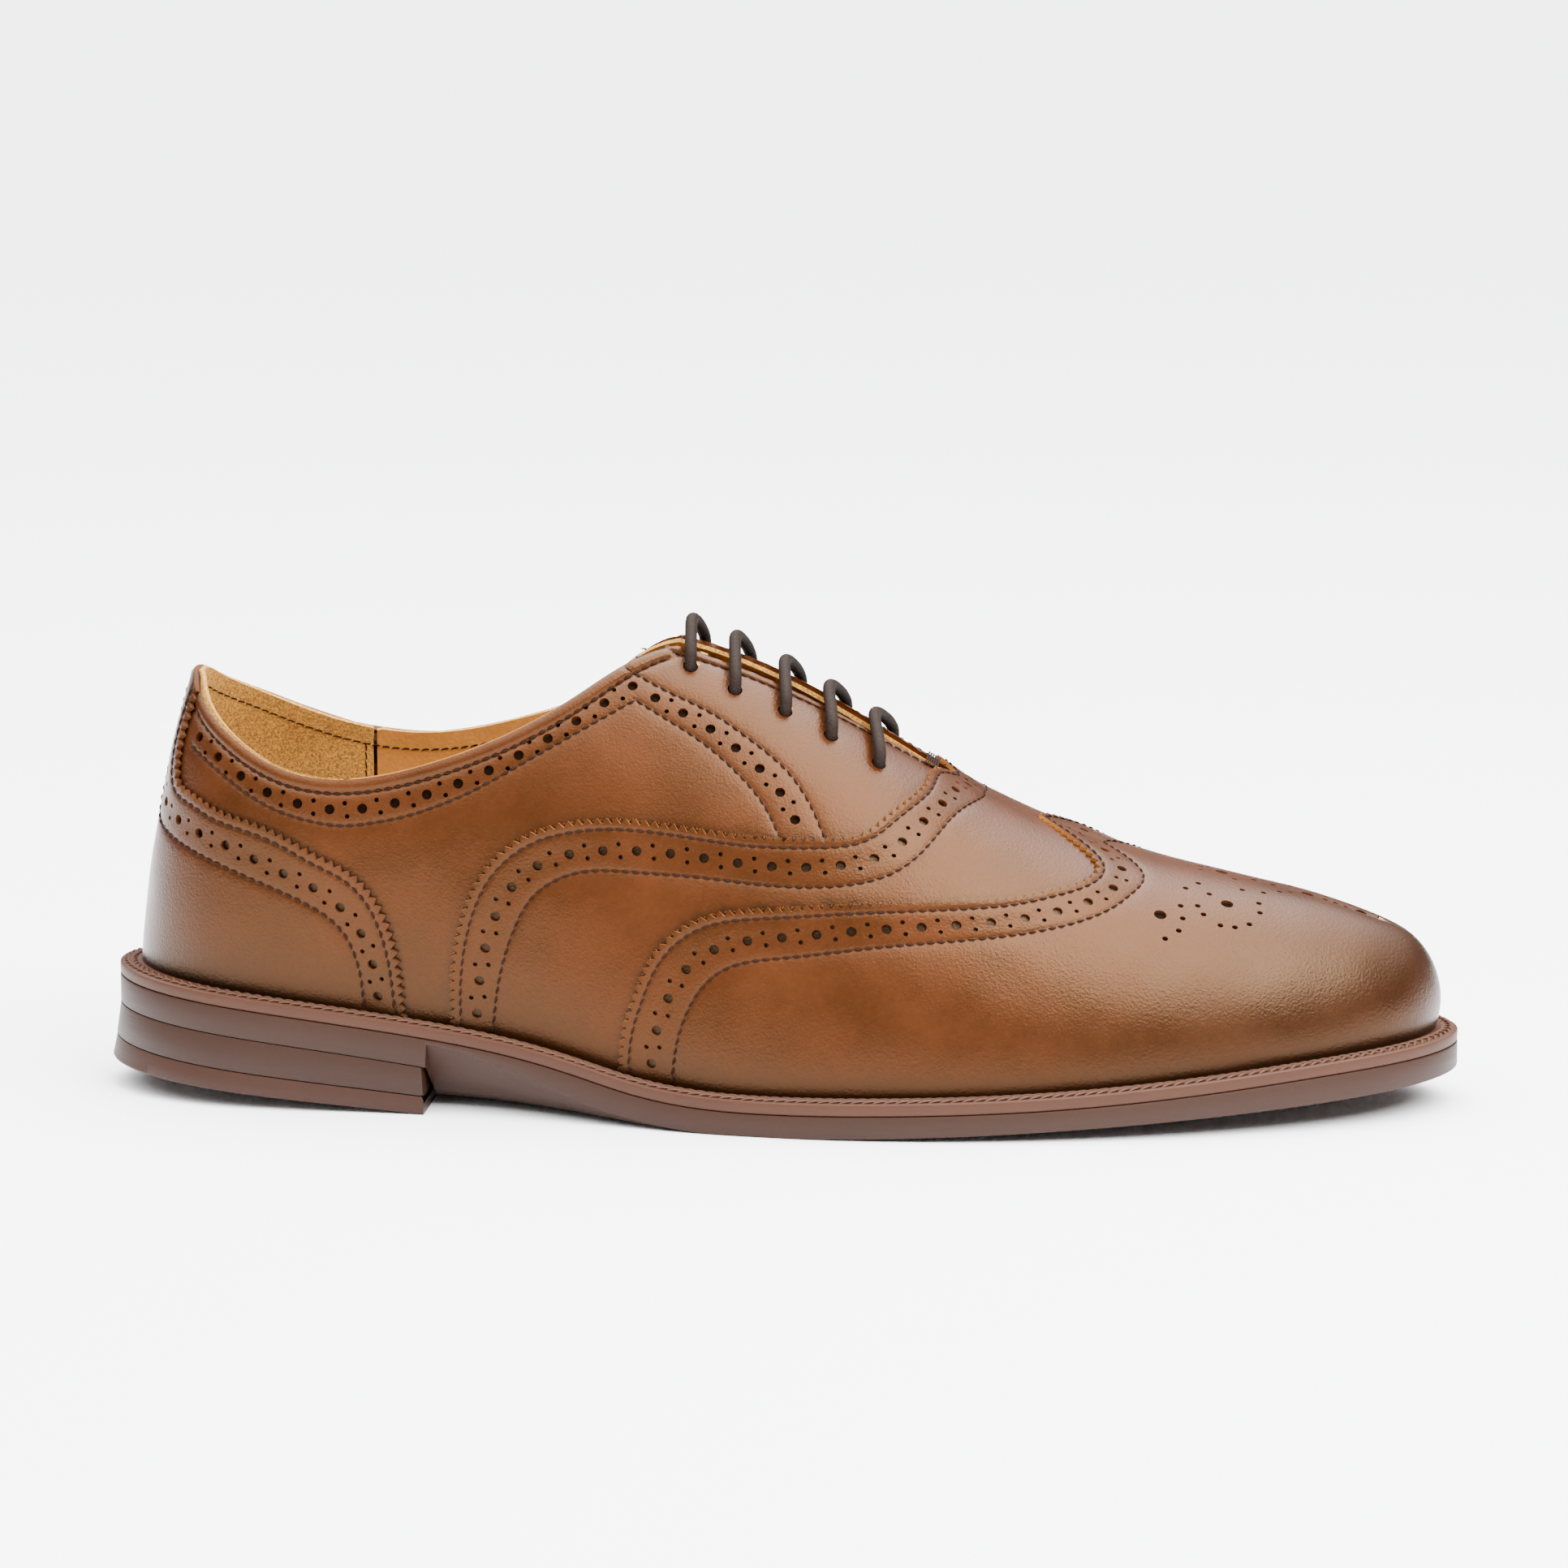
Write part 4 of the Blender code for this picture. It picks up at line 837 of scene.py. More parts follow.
LATERAL_TOPLINE = [(5.0, 0.885), (4.7, 0.81), (4.4, 0.735), (4.0, 0.667), (3.5, 0.62),
                   (3.0, 0.598), (2.5, 0.613), (2.0, 0.67), (1.5, 0.74), (1.0, 0.81),
                   (0.5, 0.835), (0.0, 0.84)]
MEDIAL_TOPLINE = [(5.0, 0.885), (4.7, 0.79), (4.4, 0.69), (4.0, 0.635), (3.5, 0.616),
                  (3.0, 0.636), (2.5, 0.675), (2.0, 0.72), (1.5, 0.765), (1.0, 0.81),
                  (0.5, 0.835), (0.0, 0.84)]
FACING_EDGE = [(6.8, 0.962), (6.5, 0.945), (6.2, 0.93), (5.8, 0.905), (5.4, 0.888), (5.0, 0.885)]
LINING_SEAM = [(4.6, 0.0), (4.75, 0.30), (5.6, 0.42), (6.4, 0.52), (6.75, 0.75), (6.9, 0.94)]
GRIP_SEAM = 2.95
EYELETS = [(5.11, 0.832), (5.39, 0.806), (5.71, 0.808), (6.00, 0.804), (6.30, 0.796)]
SIDES = {"lateral": LATERAL_TOPLINE, "medial": MEDIAL_TOPLINE}


def topline(side, start, end, step=1.2 * MM):
    """Topline between two stations as lateral coordinates."""
    height = open_cubic(SIDES[side][::-1])
    at = np.linspace(start, end, 300)
    return evenly(np.stack([at, height(at)], 1), step)


def top_at(side, s):
    return float(open_cubic(SIDES[side][::-1])(s))


def straight(a, b, step=1.4 * MM):
    """Points between two corners, at even steps of the pattern."""
    a, b = np.asarray(a, float), np.asarray(b, float)
    count = max(1, int(round(np.linalg.norm((b - a) * PATTERN) / step)))
    return a + (b - a) * np.linspace(0, 1, count + 1)[:, None]


def loop_of(*runs):
    return np.concatenate([run[:-1] for run in runs])


def to_side(side, run):
    return run if side == "lateral" else mirrored(run)


def level(height):
    return lambda real, sv: np.full(len(real), height)


LINING_DEPTH = -1.35 * MM
nap_suede, shader = finish_named("brushed_golden_suede")
# Split leather with the flesh side out: matte, deep gold, with a short nap that catches light.
place = put(nap_suede, "ShaderNodeTexCoord").outputs["Object"]
nap = put(nap_suede, "ShaderNodeTexNoise", {"Vector": place, "Scale": 1 / (0.55 * MM), "Detail": 4.0,
                                            "Roughness": 0.7})
swirl = put(nap_suede, "ShaderNodeTexNoise", {"Vector": place, "Scale": 1 / (9 * MM), "Detail": 3.0})
low_nap = put(nap_suede, "ShaderNodeMapRange", {"Value": nap.outputs[0], "From Min": 0.38, "From Max": 0.66})
deep = put(nap_suede, "ShaderNodeMix", {0: low_nap.outputs[0], 6: srgb("#6E4410"), 7: srgb("#C08A30")},
           data_type='RGBA')
hue = put(nap_suede, "ShaderNodeMapRange", {"Value": swirl.outputs[0], "From Min": 0.3, "From Max": 0.7,
                                            "To Min": 0.82, "To Max": 1.08})
tone = put(nap_suede, "ShaderNodeHueSaturation", {"Color": deep.outputs[2], "Value": hue.outputs[0]})
link(nap_suede, tone.outputs[0], shader, "Base Color")
bump = put(nap_suede, "ShaderNodeBump", {"Height": nap.outputs[0], "Strength": 0.9, "Distance": 0.3 * MM})
link(nap_suede, bump.outputs[0], shader, "Normal")
shader.inputs["Roughness"].default_value = 0.95
shader.inputs["Sheen Weight"].default_value = 0.35
shader.inputs["Sheen Roughness"].default_value = 0.5
shader.inputs["Sheen Tint"].default_value = srgb("#E8B860")

LIP = 0.5 * MM          # the lining's raw edge stands this far above the folded topline
for side in SIDES:
    rear = GRIP_SEAM + 0.03
    top = topline(side, FACING_EDGE[-1][0], rear)
    edge = loop_of(straight((rear, 0), (LINING_SEAM[0][0], 0)), run_of(LINING_SEAM, 1.6 * MM),
                   straight(LINING_SEAM[-1], FACING_EDGE[0]), run_of(FACING_EDGE, 1.2 * MM),
                   beside(top, -LIP), straight((rear, top_at(side, rear)), (rear, 0)))
    holes = [ring(spot, 2.0 * MM) for spot in EYELETS]
    item = cut_piece("quarter_lining_calf_" + side, to_side(side, edge), level(LINING_DEPTH),
                     [lining_calf, nap_suede], [to_side(side, hole) for hole in holes], thickness=1.0 * MM,
                     step=2.6 * MM, rim=1)
    on_shoe(item, "lining_leather", "quarter_lining_" + side)

grips = []
for side in SIDES:
    top = topline(side, GRIP_SEAM, 0.0)
    edge = loop_of(straight((0, 0), (GRIP_SEAM, 0)),
                   straight((GRIP_SEAM, 0), (GRIP_SEAM, top_at(side, GRIP_SEAM))),
                   beside(top, -LIP), straight((0, 0.846), (0, 0)))
    grips.append(cut_piece("grip_half", to_side(side, edge), level(LINING_DEPTH), [nap_suede],
                           thickness=1.1 * MM, step=2.2 * MM))


def united(name, halves, weld=0.0004):
    """Two halves as one piece, welded where they meet down the back."""
    work = bmesh.new()
    for half in halves:
        work.from_mesh(half.data)
    bmesh.ops.remove_doubles(work, verts=[v for v in work.verts if abs(v.co.y) < 0.0006], dist=weld)
    work.to_mesh(halves[-1].data)
    work.free()
    halves[-1].name = halves[-1].data.name = name
    for half in halves[:-1]:
        bpy.data.objects.remove(half, do_unlink=True)
    return halves[-1]


on_shoe(united("heel_grip_suede_panel", grips), "heel_suede", "heel_grip")

UNDER_FOXING = [(0.03, 0.47), (0.75, 0.44), (1.36, 0.40), (1.9, 0.355), (2.35, 0.32),
                (2.7, 0.28), (2.87, 0.24), (2.99, 0.17), (3.03, 0.0)]
QUARTER_FRONT = [(3.96, 0.0), (4.04, 0.2), (4.12, 0.28), (4.22, 0.335), (4.4, 0.37),
                 (5.14, 0.395), (5.53, 0.405), (5.93, 0.43), (6.36, 0.50), (6.65, 0.62),
                 (6.86, 0.75), (7.02, 0.95)]
UNDER_CAP = [(5.0, 0.0), (5.07, 0.13), (5.13, 0.175), (5.3, 0.24), (5.63, 0.28),
             (6.3, 0.343), (6.8, 0.393), (7.33, 0.47), (7.75, 0.575), (7.93, 0.655),
             (8.1, 0.77), (8.15, 1.0)]


def nudged(points, ds, dt):
    """Seam's neighbour across a butt joint; its ends stay at the feather line and the ridge."""
    points = np.asarray(points, float)
    shift = np.where((points[:, 1:] > 0.0) & (points[:, 1:] < 0.96), dt, 0.0)
    return np.concatenate([points[:, :1] + ds, points[:, 1:] + shift], 1)


def whole_toe(seam_points):
    """Outline of a piece that wraps the toe, from a lateral seam and its mirror image."""
    back = run_of(both_sides(seam_points), 3.0 * MM)
    foot = straight((seam_points[0][0], 0), (HALF_TOUR, 0), 3.0 * MM)
    tip = straight((HALF_TOUR, 0), (HALF_TOUR, 2), 3.0 * MM)
    return loop_of(foot, tip, mirrored(foot)[::-1], back[::-1])


# Cotton drill, pale and matt with its yarns felted over, and stiffener board, made nearly black and without
# shine as painted shade in the punch holes that show it.
drill = grained_leather("cotton_drill_lining", "#C9B48E", "#BBA57E", "#8E7A58", 0.85, grain=0.7 * MM)
hole_shade_board = grained_leather("stiffener_board_painted_hole_shade", "#1A100A", "#140C08", "#0C0604", 0.85, grain=0.5 * MM)
hole_shade_board.node_tree.nodes["Principled BSDF"].inputs["Specular IOR Level"].default_value = 0.05
back_seam = nudged(LINING_SEAM, 0.03, -0.006)
item = cut_piece("vamp_lining_drill", whole_toe(back_seam), level(LINING_DEPTH), [drill],
                 thickness=1.0 * MM, step=4.0 * MM)
on_shoe(item, "vamp_lining_cloth", "vamp_lining")
item = cut_piece("toe_puff_sheet", whole_toe(nudged(UNDER_CAP, 0.04, -0.008)), level(-1.12 * MM),
                 [hole_shade_board], thickness=0.2 * MM, step=4.0 * MM)
on_shoe(item, "board", "toe_puff")
rear = nudged(QUARTER_FRONT, 0.04, -0.008)
front = run_of(both_sides(UNDER_CAP), 3.0 * MM)
foot = straight((rear[0][0], 0), (UNDER_CAP[0][0], 0), 3.0 * MM)
behind = run_of(both_sides(rear), 3.0 * MM)
item = cut_piece("vamp_doubler_cloth", loop_of(foot, front, mirrored(foot)[::-1], behind[::-1]),
                 level(-1.14 * MM), [hole_shade_board], thickness=0.18 * MM, step=4.0 * MM)
on_shoe(item, "backer_cloth", "vamp_doubler")
rear = nudged(UNDER_FOXING, -0.04, -0.008)
rear[0, 0] = 0.0
counters = []
for side in SIDES:
    edge = loop_of(straight((0, 0), (rear[-1][0], 0)), run_of(rear, 2.5 * MM)[::-1],
                   straight(rear[0], (0, 0)))
    counters.append(cut_piece("counter_half", to_side(side, edge), level(-1.14 * MM), [hole_shade_board],
                              thickness=0.18 * MM, step=4.0 * MM))
on_shoe(united("counter_stiffener_board", counters), "board", "counter_stiffener")


# ------------------------------------------------------------------ quarters
# Tan calf, darker towards the feather line and the heel, with painted shade round the toe and beside the
# lapped seams. The topline and the facings have folded edges, stitched down; the collar and facing bands are
# broguered between two rows, and the lace holes are punched.

VAMP_SEAM = [(3.67, 0.0), (3.68, 0.18), (3.74, 0.30), (3.88, 0.403), (4.1, 0.462), (4.36, 0.488),
             (5.14, 0.498), (5.48, 0.507), (5.83, 0.535), (6.13, 0.581), (6.34, 0.663),
             (6.6, 0.81), (6.76, 0.95), (6.85, 1.0)]
FOXING_SEAM = [(3.36, 0.0), (3.33, 0.175), (3.27, 0.27), (3.18, 0.337), (3.02, 0.393),
               (2.8, 0.427), (2.56, 0.462), (2.29, 0.484), (1.97, 0.50), (1.62, 0.529),
               (1.34, 0.563), (1.26, 0.62), (1.26, 0.70), (1.32, 0.765)]
COLLAR_STITCH = [(1.44, 0.643), (1.82, 0.602), (2.2, 0.554), (2.49, 0.522), (2.74, 0.506), (2.96, 0.499),
                 (3.18, 0.506), (3.38, 0.517), (3.58, 0.535), (3.77, 0.557), (3.97, 0.587), (4.16, 0.618),
                 (4.35, 0.649), (4.55, 0.684), (4.76, 0.725)]
FACING_OUTER = [(4.69, 0.80), (4.95, 0.754), (5.25, 0.724), (5.5, 0.691), (5.7, 0.656), (5.84, 0.598),
                (5.91, 0.545)]
FACING_INNER = [(4.76, 0.725), (4.95, 0.692), (5.2, 0.654), (5.39, 0.616), (5.54, 0.573), (5.64, 0.515)]
EDGE_STITCH = 3.2 * MM      # topline to its stitches
FACING_STITCH = 2.1 * MM
LAP = 1.15 * MM             # rise of a piece over the one that it laps
LAP_RUN = 5.0 * MM          # the length it takes to lie flat again

# Tan calf, hand-stained and waxed: warm brown with cloudy darker patches and a soft shine.
quarter_calf = grained_leather("tan_calf_darkened_and_shaded", "#371704", "#2C1202", "#110702", 0.33)
# Where calf is cut through, its dyed core shows: darker, dull and a little furred.
cut_calf = grained_leather("cut_calf_edge", "#4A2610", "#3A1C0A", "#200E04", 0.75, grain=0.5 * MM)


def midway(one, two, count=300):
    """Line half way between two seams."""
    a, b = (np.stack([np.interp(np.linspace(0, 1, count), lengths(run) / lengths(run)[-1], run[:, k])
                      for k in range(2)], 1) for run in (one, two))
    return (a + b) / 2


BIG_PUNCH = 1.18 * MM       # radii of the brogue punches
SMALL_PUNCH = 0.56 * MM
PUNCH_PITCH = 7.9 * MM
PAIR = 1.5 * MM             # a small hole's distance from the row's middle


def brogue(line, start, end):
    """Holes of one row: big ones at a fixed pitch, with a pair of small ones between them."""
    real = lengths(line)
    span = real[-1] - start - end
    groups = max(1, int(round(span / PUNCH_PITCH)))
    holes = []
    for i in range(2 * groups + 1):
        at = start + span * i / (2 * groups)
        spot = np.array([[np.interp(at, real, line[:, k]) for k in range(2)]])
        ahead = np.array([[np.interp(min(at + 0.5 * MM, real[-1]), real, line[:, k]) for k in range(2)]])
        way = on_form(ahead) - on_form(spot)
        way /= np.linalg.norm(way)
        if i % 2 == 0:
            holes.append((spot[0], BIG_PUNCH))
        else:
            side = np.cross(form_normal(spot), way)
            for hand in (-1, 1):
                lean = side * hand * PAIR - way * hand * 0.25 * MM
                holes.append((shifted(spot, lean)[0], SMALL_PUNCH))
    return holes


def punched(holes):
    """Rings to cut and rings of mesh round them."""
    rings = [ring(spot, radius, 14 if radius > 0.8 * MM else 9) for spot, radius in holes]
    around = [ring(spot, radius + 0.38 * MM, 14 if radius > 0.8 * MM else 9, 0.5) for spot, radius in holes]
    return rings, around


def gulley(distance):
    """Groove that a tight row of stitches pulls into the leather."""
    return (-0.26 * np.exp(-(distance / (0.5 * MM)) ** 2) - 0.10 * np.exp(-(distance / (1.5 * MM)) ** 2)) * MM


def folded_edge(distance, width, high):
    """Round bead of a folded edge as far as its stitches."""
    across = np.clip((distance - width / 2) / (width / 2), -1, 1)
    bead = high * np.sqrt(1 - across ** 2) - high * 0.4
    return np.where(distance < width, bead, -high * 0.4 * np.exp(-((distance - width) / (0.8 * MM)) ** 2))


def lapped(distance, base=0.1 * MM):
    return base + LAP * np.exp(-(distance / LAP_RUN) ** 2)


def ripple(points, scale=11 * MM, size=0.16 * MM):
    """Slight unevenness of leather that was pulled over the last by hand."""
    return np.array([noise.noise(Vector(p / scale)) for p in points]) * size


def beads(rows, spacing=0.8 * MM, spread=(-1.1, -0.5, 0, 0.5, 1.1)):
    """Guide points along rows of stitches, close enough together to carry their groove."""
    return [beside(evenly(row, spacing), across * MM) for row in rows for across in spread]


thread, shader = finish_named("waxed_bobbin_thread")
# Three-ply polyester thread, waxed: nearly black brown, with a dull shine.
place = put(thread, "ShaderNodeTexCoord").outputs["Object"]
ply = put(thread, "ShaderNodeTexNoise", {"Vector": place, "Scale": 1 / (0.3 * MM)})
shade = put(thread, "ShaderNodeMix", {0: ply.outputs[0], 6: srgb("#150A06"), 7: srgb("#22120B")},
            data_type='RGBA')
link(thread, shade.outputs[2], shader, "Base Color")
shader.inputs["Specular IOR Level"].default_value = 0.1
shader.inputs["Roughness"].default_value = 0.85


def sewn(name, rows, heights, pitch=2.35 * MM, radius=0.23 * MM):
    """Rows of single stitches; heights gives each row's height over the form."""
    starts, ends, normals = [], [], []
    for row, height in zip(rows, heights):
        even = evenly(row, pitch)
        normal = form_normal(even)
        real = on_form(even)
        real = real + normal * height(real, even)[:, None]
        side = np.cross(normal, tangents(even)) * 0.10 * MM
        starts.append(real[:-1] + (real[1:] - real[:-1]) * 0.09 + side[:-1])
        ends.append(real[:-1] + (real[1:] - real[:-1]) * 0.91 - side[:-1])
        normals.append(normal[:-1])
    item = strokes(name, np.concatenate(starts), np.concatenate(ends), np.concatenate(normals),
                   radius, 0.30 * MM, thread)
    return on_shoe(item, "thread")


for side in SIDES:
    top = topline(side, FACING_EDGE[-1][0], 0.03, 1.0 * MM)
    facing = run_of(FACING_EDGE, 0.9 * MM)
    drop = [(s, t - top_at("lateral", s) + top_at(side, s)) for s, t in COLLAR_STITCH]
    facing_top = run_of(FACING_OUTER)
    under_vamp = loop_of(run_of(VAMP_SEAM, 2 * MM), straight((6.85, 1), (HALF_TOUR, 1)),
                         straight((HALF_TOUR, 1), (HALF_TOUR, 0)), straight((HALF_TOUR, 0), (3.67, 0)))
    under_back = loop_of(straight((0, 0), (3.36, 0)), run_of(FOXING_SEAM, 2 * MM),
                         straight((1.32, 0.9), (0, 0.9)), straight((0, 0.9), (0, 0)))
    rows = [beside(topline(side, 4.93, 1.3, 1.0 * MM), EDGE_STITCH), run_of(drop), facing_top,
            run_of(FACING_INNER), beside(run_of(FACING_EDGE), FACING_STITCH)]
    bands = (brogue(midway(rows[0], rows[1][::-1]), 5 * MM, 6 * MM)
             + brogue(midway(rows[2], rows[3]), 7 * MM, 5 * MM))
    holes, around = punched(bands)
    lace_holes = [ring(spot, 1.75 * MM, 16) for spot in EYELETS]
    edge = loop_of(straight((UNDER_FOXING[-1][0], 0), (QUARTER_FRONT[0][0], 0)),
                   run_of(QUARTER_FRONT, 1.6 * MM), straight(QUARTER_FRONT[-1], FACING_EDGE[0]), facing, top,
                   straight((0.03, top_at(side, 0.03)), UNDER_FOXING[0]), run_of(UNDER_FOXING, 1.6 * MM))
    guides = around + beads([to_side("lateral", row) for row in rows])
    guides += [beside(evenly(top, 0.8 * MM), across * MM) for across in (0.35, 0.9, 1.6, 2.3)]
    guides += [beside(evenly(facing, 0.8 * MM), across * MM) for across in (0.35, 0.8, 1.3)]
    guides += [ring(spot, reach * MM, 18) for spot in EYELETS for reach in (2.3, 3.0, 4.0)]
    for line in (run_of(VAMP_SEAM), run_of(FOXING_SEAM)):
        guides += [beside(evenly(line, 0.9 * MM), across * MM) for across in (-1.6, -0.8, 0, 0.8)]
    turned = [to_side(side, row) for row in rows]
    from_top, from_facing = distance_to(to_side(side, top)), distance_to(to_side(side, facing))
    from_rows = distance_to(*turned)
    from_vamp = distance_to(to_side(side, run_of(VAMP_SEAM)))
    from_foxing = distance_to(to_side(side, run_of(FOXING_SEAM)))
    eyes = np.array([on_form(to_side(side, np.array([spot])))[0] for spot in EYELETS])

    def quarter_height(real, sv):
        flat = (sv if side == "lateral" else mirrored(sv)) * PATTERN
        tucked = inside(flat, under_vamp * PATTERN) * (1 - np.exp(-(from_vamp(real) / LAP_RUN) ** 2))
        behind = inside(flat, under_back * PATTERN)
        tucked = tucked + behind * (1 - np.exp(-(from_foxing(real) / LAP_RUN) ** 2))
        beaded = folded_edge(from_top(real), 2.9 * MM, 0.75 * MM)
        rolled = folded_edge(from_facing(real), 1.7 * MM, 0.4 * MM)
        near = np.linalg.norm(real[:, None] - eyes, axis=-1).min(1)
        dimple = -0.16 * MM * np.exp(-((near - 1.7 * MM) / (1.5 * MM)) ** 2)
        sunk = -tucked * LAP - 0.1 * MM * (tucked > 0)
        return sunk + beaded + rolled + gulley(from_rows(real)) + dimple + ripple(real)

    # Thins the leather where it is lapped. The same mask darkens it there, and in a thin line beside the
    # lapping teeth, as painted shade.
    def skived(real, sv):
        flat = (sv if side == "lateral" else mirrored(sv)) * PATTERN
        under = inside(flat, under_vamp * PATTERN) | inside(flat, under_back * PATTERN)
        near = np.minimum(from_foxing(real), from_vamp(real) + 0.4 * MM)
        return np.maximum(1.0 * under, np.exp(-(near / (0.9 * MM)) ** 2))

    item = cut_piece("quarter_calf_" + side, to_side(side, edge), quarter_height, [quarter_calf, cut_calf],
                     [to_side(side, hole) for hole in holes + lace_holes], [to_side(side, g) for g in guides],
                     tone_patches=skived)
    # Nearly black backing under each brogue band: painted shade seen through its punch holes.
    for number, (one, two) in enumerate(((rows[0], rows[1][::-1]), (rows[2], rows[3]))):
        middle = evenly(midway(one, two), 1.5 * MM)
        tape = cut_piece(f"backing_tape_{side}_{number + 1}",
                         to_side(side, loop_of(beside(middle, 2.2 * MM), beside(middle, -2.2 * MM)[::-1])),
                         level(-1.2 * MM), [hole_shade_board], thickness=0.12 * MM, step=2.5 * MM)
        on_shoe(tape, "backer_cloth")
    on_shoe(item, "upper_leather", "quarter_" + side)
    seat = [lambda real, sv: quarter_height(real, sv) + 0.22 * MM] * len(turned)
    sewn("quarter_stitches_" + side, turned, seat)


# ------------------------------------------------------------------ heel foxing
# Counter foxing whose gimped front edge runs from the feather line to a narrow back strap;
# two rows of stitches with a brogue row between them, as on every lapped edge of the shoe.

FOXING_BACK = [(0.5, 0.80), (0.47, 0.68), (0.5, 0.57), (0.63, 0.495), (0.95, 0.45), (1.36, 0.418),
               (1.91, 0.379), (2.37, 0.345), (2.74, 0.304), (2.94, 0.258), (3.06, 0.173), (3.1, 0.01)]
FIRST_ROW = 2.0 * MM        # teeth to the first row of stitches
TOOTH = 2.2 * MM
TOOTH_DEPTH = 1.5 * MM
SAW = [-0.5, -0.17, 0.17, 0.5, 0.17, -0.17]

# The cut teeth: raw, fibrous flesh of the leather, golden where the nap stands.
raw_gold = grained_leather("frayed_golden_edge", "#84501E", "#683C14", "#2A1606", 0.9, grain=0.3 * MM,
                           depth=0.2 * MM)
# Single fibres pulled out of that edge: lighter, because light passes through them.
loose_fibre = grained_leather("loose_golden_fibre", "#A0662A", "#84501C", "#5A3410", 0.9)


def gimped(line, pitch=TOOTH, depth=TOOTH_DEPTH):
    """Toothed edge along a seam."""
    real = lengths(line)[-1]
    teeth = max(1, int(round(real / pitch)))
    even = evenly(line, real / (teeth * len(SAW)))
    return beside(even, np.resize(SAW, len(even)) * depth)


random.seed(7)


def frayed(name, line, height, look, count=4):
    """Loose fibres that stand out of the teeth."""
    even = evenly(line, TOOTH / count)
    normal = form_normal(even)
    way = tangents(even)
    side = np.cross(normal, way)
    roll = np.array([[random.uniform(-1, 1), random.uniform(0.2, 1), random.uniform(-0.5, 0.4)]
                     for _ in even])
    foot = on_form(even) + normal * (height - 0.25 * MM) + way * roll[:, :1] * 0.5 * MM
    tip = foot + (way * roll[:, :1] * 0.4 + side * roll[:, 1:2] * 0.7 + normal * roll[:, 2:] * 0.35) * MM
    item = strokes(name, foot, tip, normal, 0.04 * MM, 0.12 * MM, look, sides=3, parts=2)
    return on_shoe(item, "thread")


def stitched_panel(name, outline, seams, rows, bands, edge_look, tuck=None):
    """Lapped piece: rises at its own seams, dips at its rows and is tucked under the next one."""
    holes, around = punched(bands)
    from_seam = distance_to(*seams)
    from_rows = distance_to(*rows)
    guides = around + beads(rows)
    tucked_to = distance_to(tuck[0]) if tuck else None

    def height(real, sv):
        value = lapped(from_seam(real)) + gulley(from_rows(real)) + ripple(real)
        if tuck:
            under = inside(sv * PATTERN, tuck[1] * PATTERN)
            value = value - under * LAP * (1 - np.exp(-(tucked_to(real) / LAP_RUN) ** 2))
        return value

    # Painted shade: the piece darkens under the next one and in a thin line beside its teeth, where it is
    # also thinned.
    def lap_shade_margin(real, sv):
        if not tuck:
            return 0.0
        return np.maximum(inside(sv * PATTERN, tuck[1] * PATTERN) * 1.0,
                          np.exp(-((tucked_to(real) + 0.4 * MM) / (0.9 * MM)) ** 2))

    item = cut_piece(name, outline, height, [quarter_calf, edge_look, cut_calf], holes, guides, rim=1,
                     tone_patches=lap_shade_margin)
    rims = [face for face in item.data.polygons if face.material_index == 1]
    for face, reach in zip(rims, from_seam([face.center + Vector((CENTRE, 0, 0)) for face in rims])):
        if reach > 2.6 * MM:
            face.material_index = 2
    return item, height


# The lining's own stitches, inside the shoe: below its top edge and down the grip's front edge.
for side in SIDES:
    below_rim = to_side(side, beside(topline(side, 4.6, 0.15, 1.0 * MM), 4.0 * MM))
    grip_row = GRIP_SEAM - 0.05
    down_grip = to_side(side, run_of([(grip_row, 0.1), (grip_row, top_at(side, GRIP_SEAM) - 0.03)]))
    sewn("lining_stitches_" + side, [below_rim, down_grip], [level(-2.5 * MM)] * 2)

halves = []
for side in SIDES:
    crown = FOXING_SEAM[-1][0]
    seam_line = run_of(FOXING_SEAM[:-1] + [(crown, top_at(side, crown))])
    edge = gimped(seam_line)
    row_one = beside(seam_line, FIRST_ROW)
    row_two = run_of(FOXING_BACK[::-1])
    strap_top = topline(side, crown, 0.0, 1.2 * MM)
    outline = loop_of(straight((0, 0), (FOXING_SEAM[0][0], 0)), edge, strap_top,
                      straight((0, top_at(side, 0.0)), (0, 0)))
    rows = [row_one, row_two]
    band = brogue(midway(row_one, row_two), 4 * MM, 5 * MM)
    turned = [to_side(side, row) for row in rows]
    band = [(to_side(side, np.array([spot]))[0], radius) for spot, radius in band]
    item, seat = stitched_panel("foxing_half", to_side(side, outline), [to_side(side, seam_line)], turned,
                                band, cut_calf)
    halves.append(item)
    sewn("foxing_stitches_" + side, turned, [lambda real, sv, seat=seat: seat(real, sv) + 0.22 * MM] * 2)
on_shoe(united("heel_foxing_calf", halves), "upper_leather", "heel_foxing")


# ------------------------------------------------------------------ vamp
# Calf forepart in one piece over the ridge. It laps the quarters from feather line to throat
# with a gimped edge and two rows of stitches, and is itself lapped by the wing cap.

CAP_SEAM = [(4.66, 0.0), (4.7, 0.13), (4.76, 0.195), (4.86, 0.269), (5.13, 0.347), (5.52, 0.385),
            (6.1, 0.436), (6.7, 0.504), (7.1, 0.568), (7.31, 0.617), (7.58, 0.704),
            (7.65, 0.76), (7.58, 0.85), (7.46, 0.94), (7.42, 1.0)]
VAMP_ROW = [(3.9, 0.0), (3.98, 0.216), (4.05, 0.29), (4.15, 0.35), (4.36, 0.396), (4.75, 0.412),
            (5.13, 0.419), (5.52, 0.428), (5.91, 0.454), (6.31, 0.522), (6.58, 0.638), (6.78, 0.764),
            (7.06, 1.0)]
vamp_line = run_of(both_sides(VAMP_SEAM), fine=1400)
cap_line = run_of(both_sides(CAP_SEAM), fine=1400)
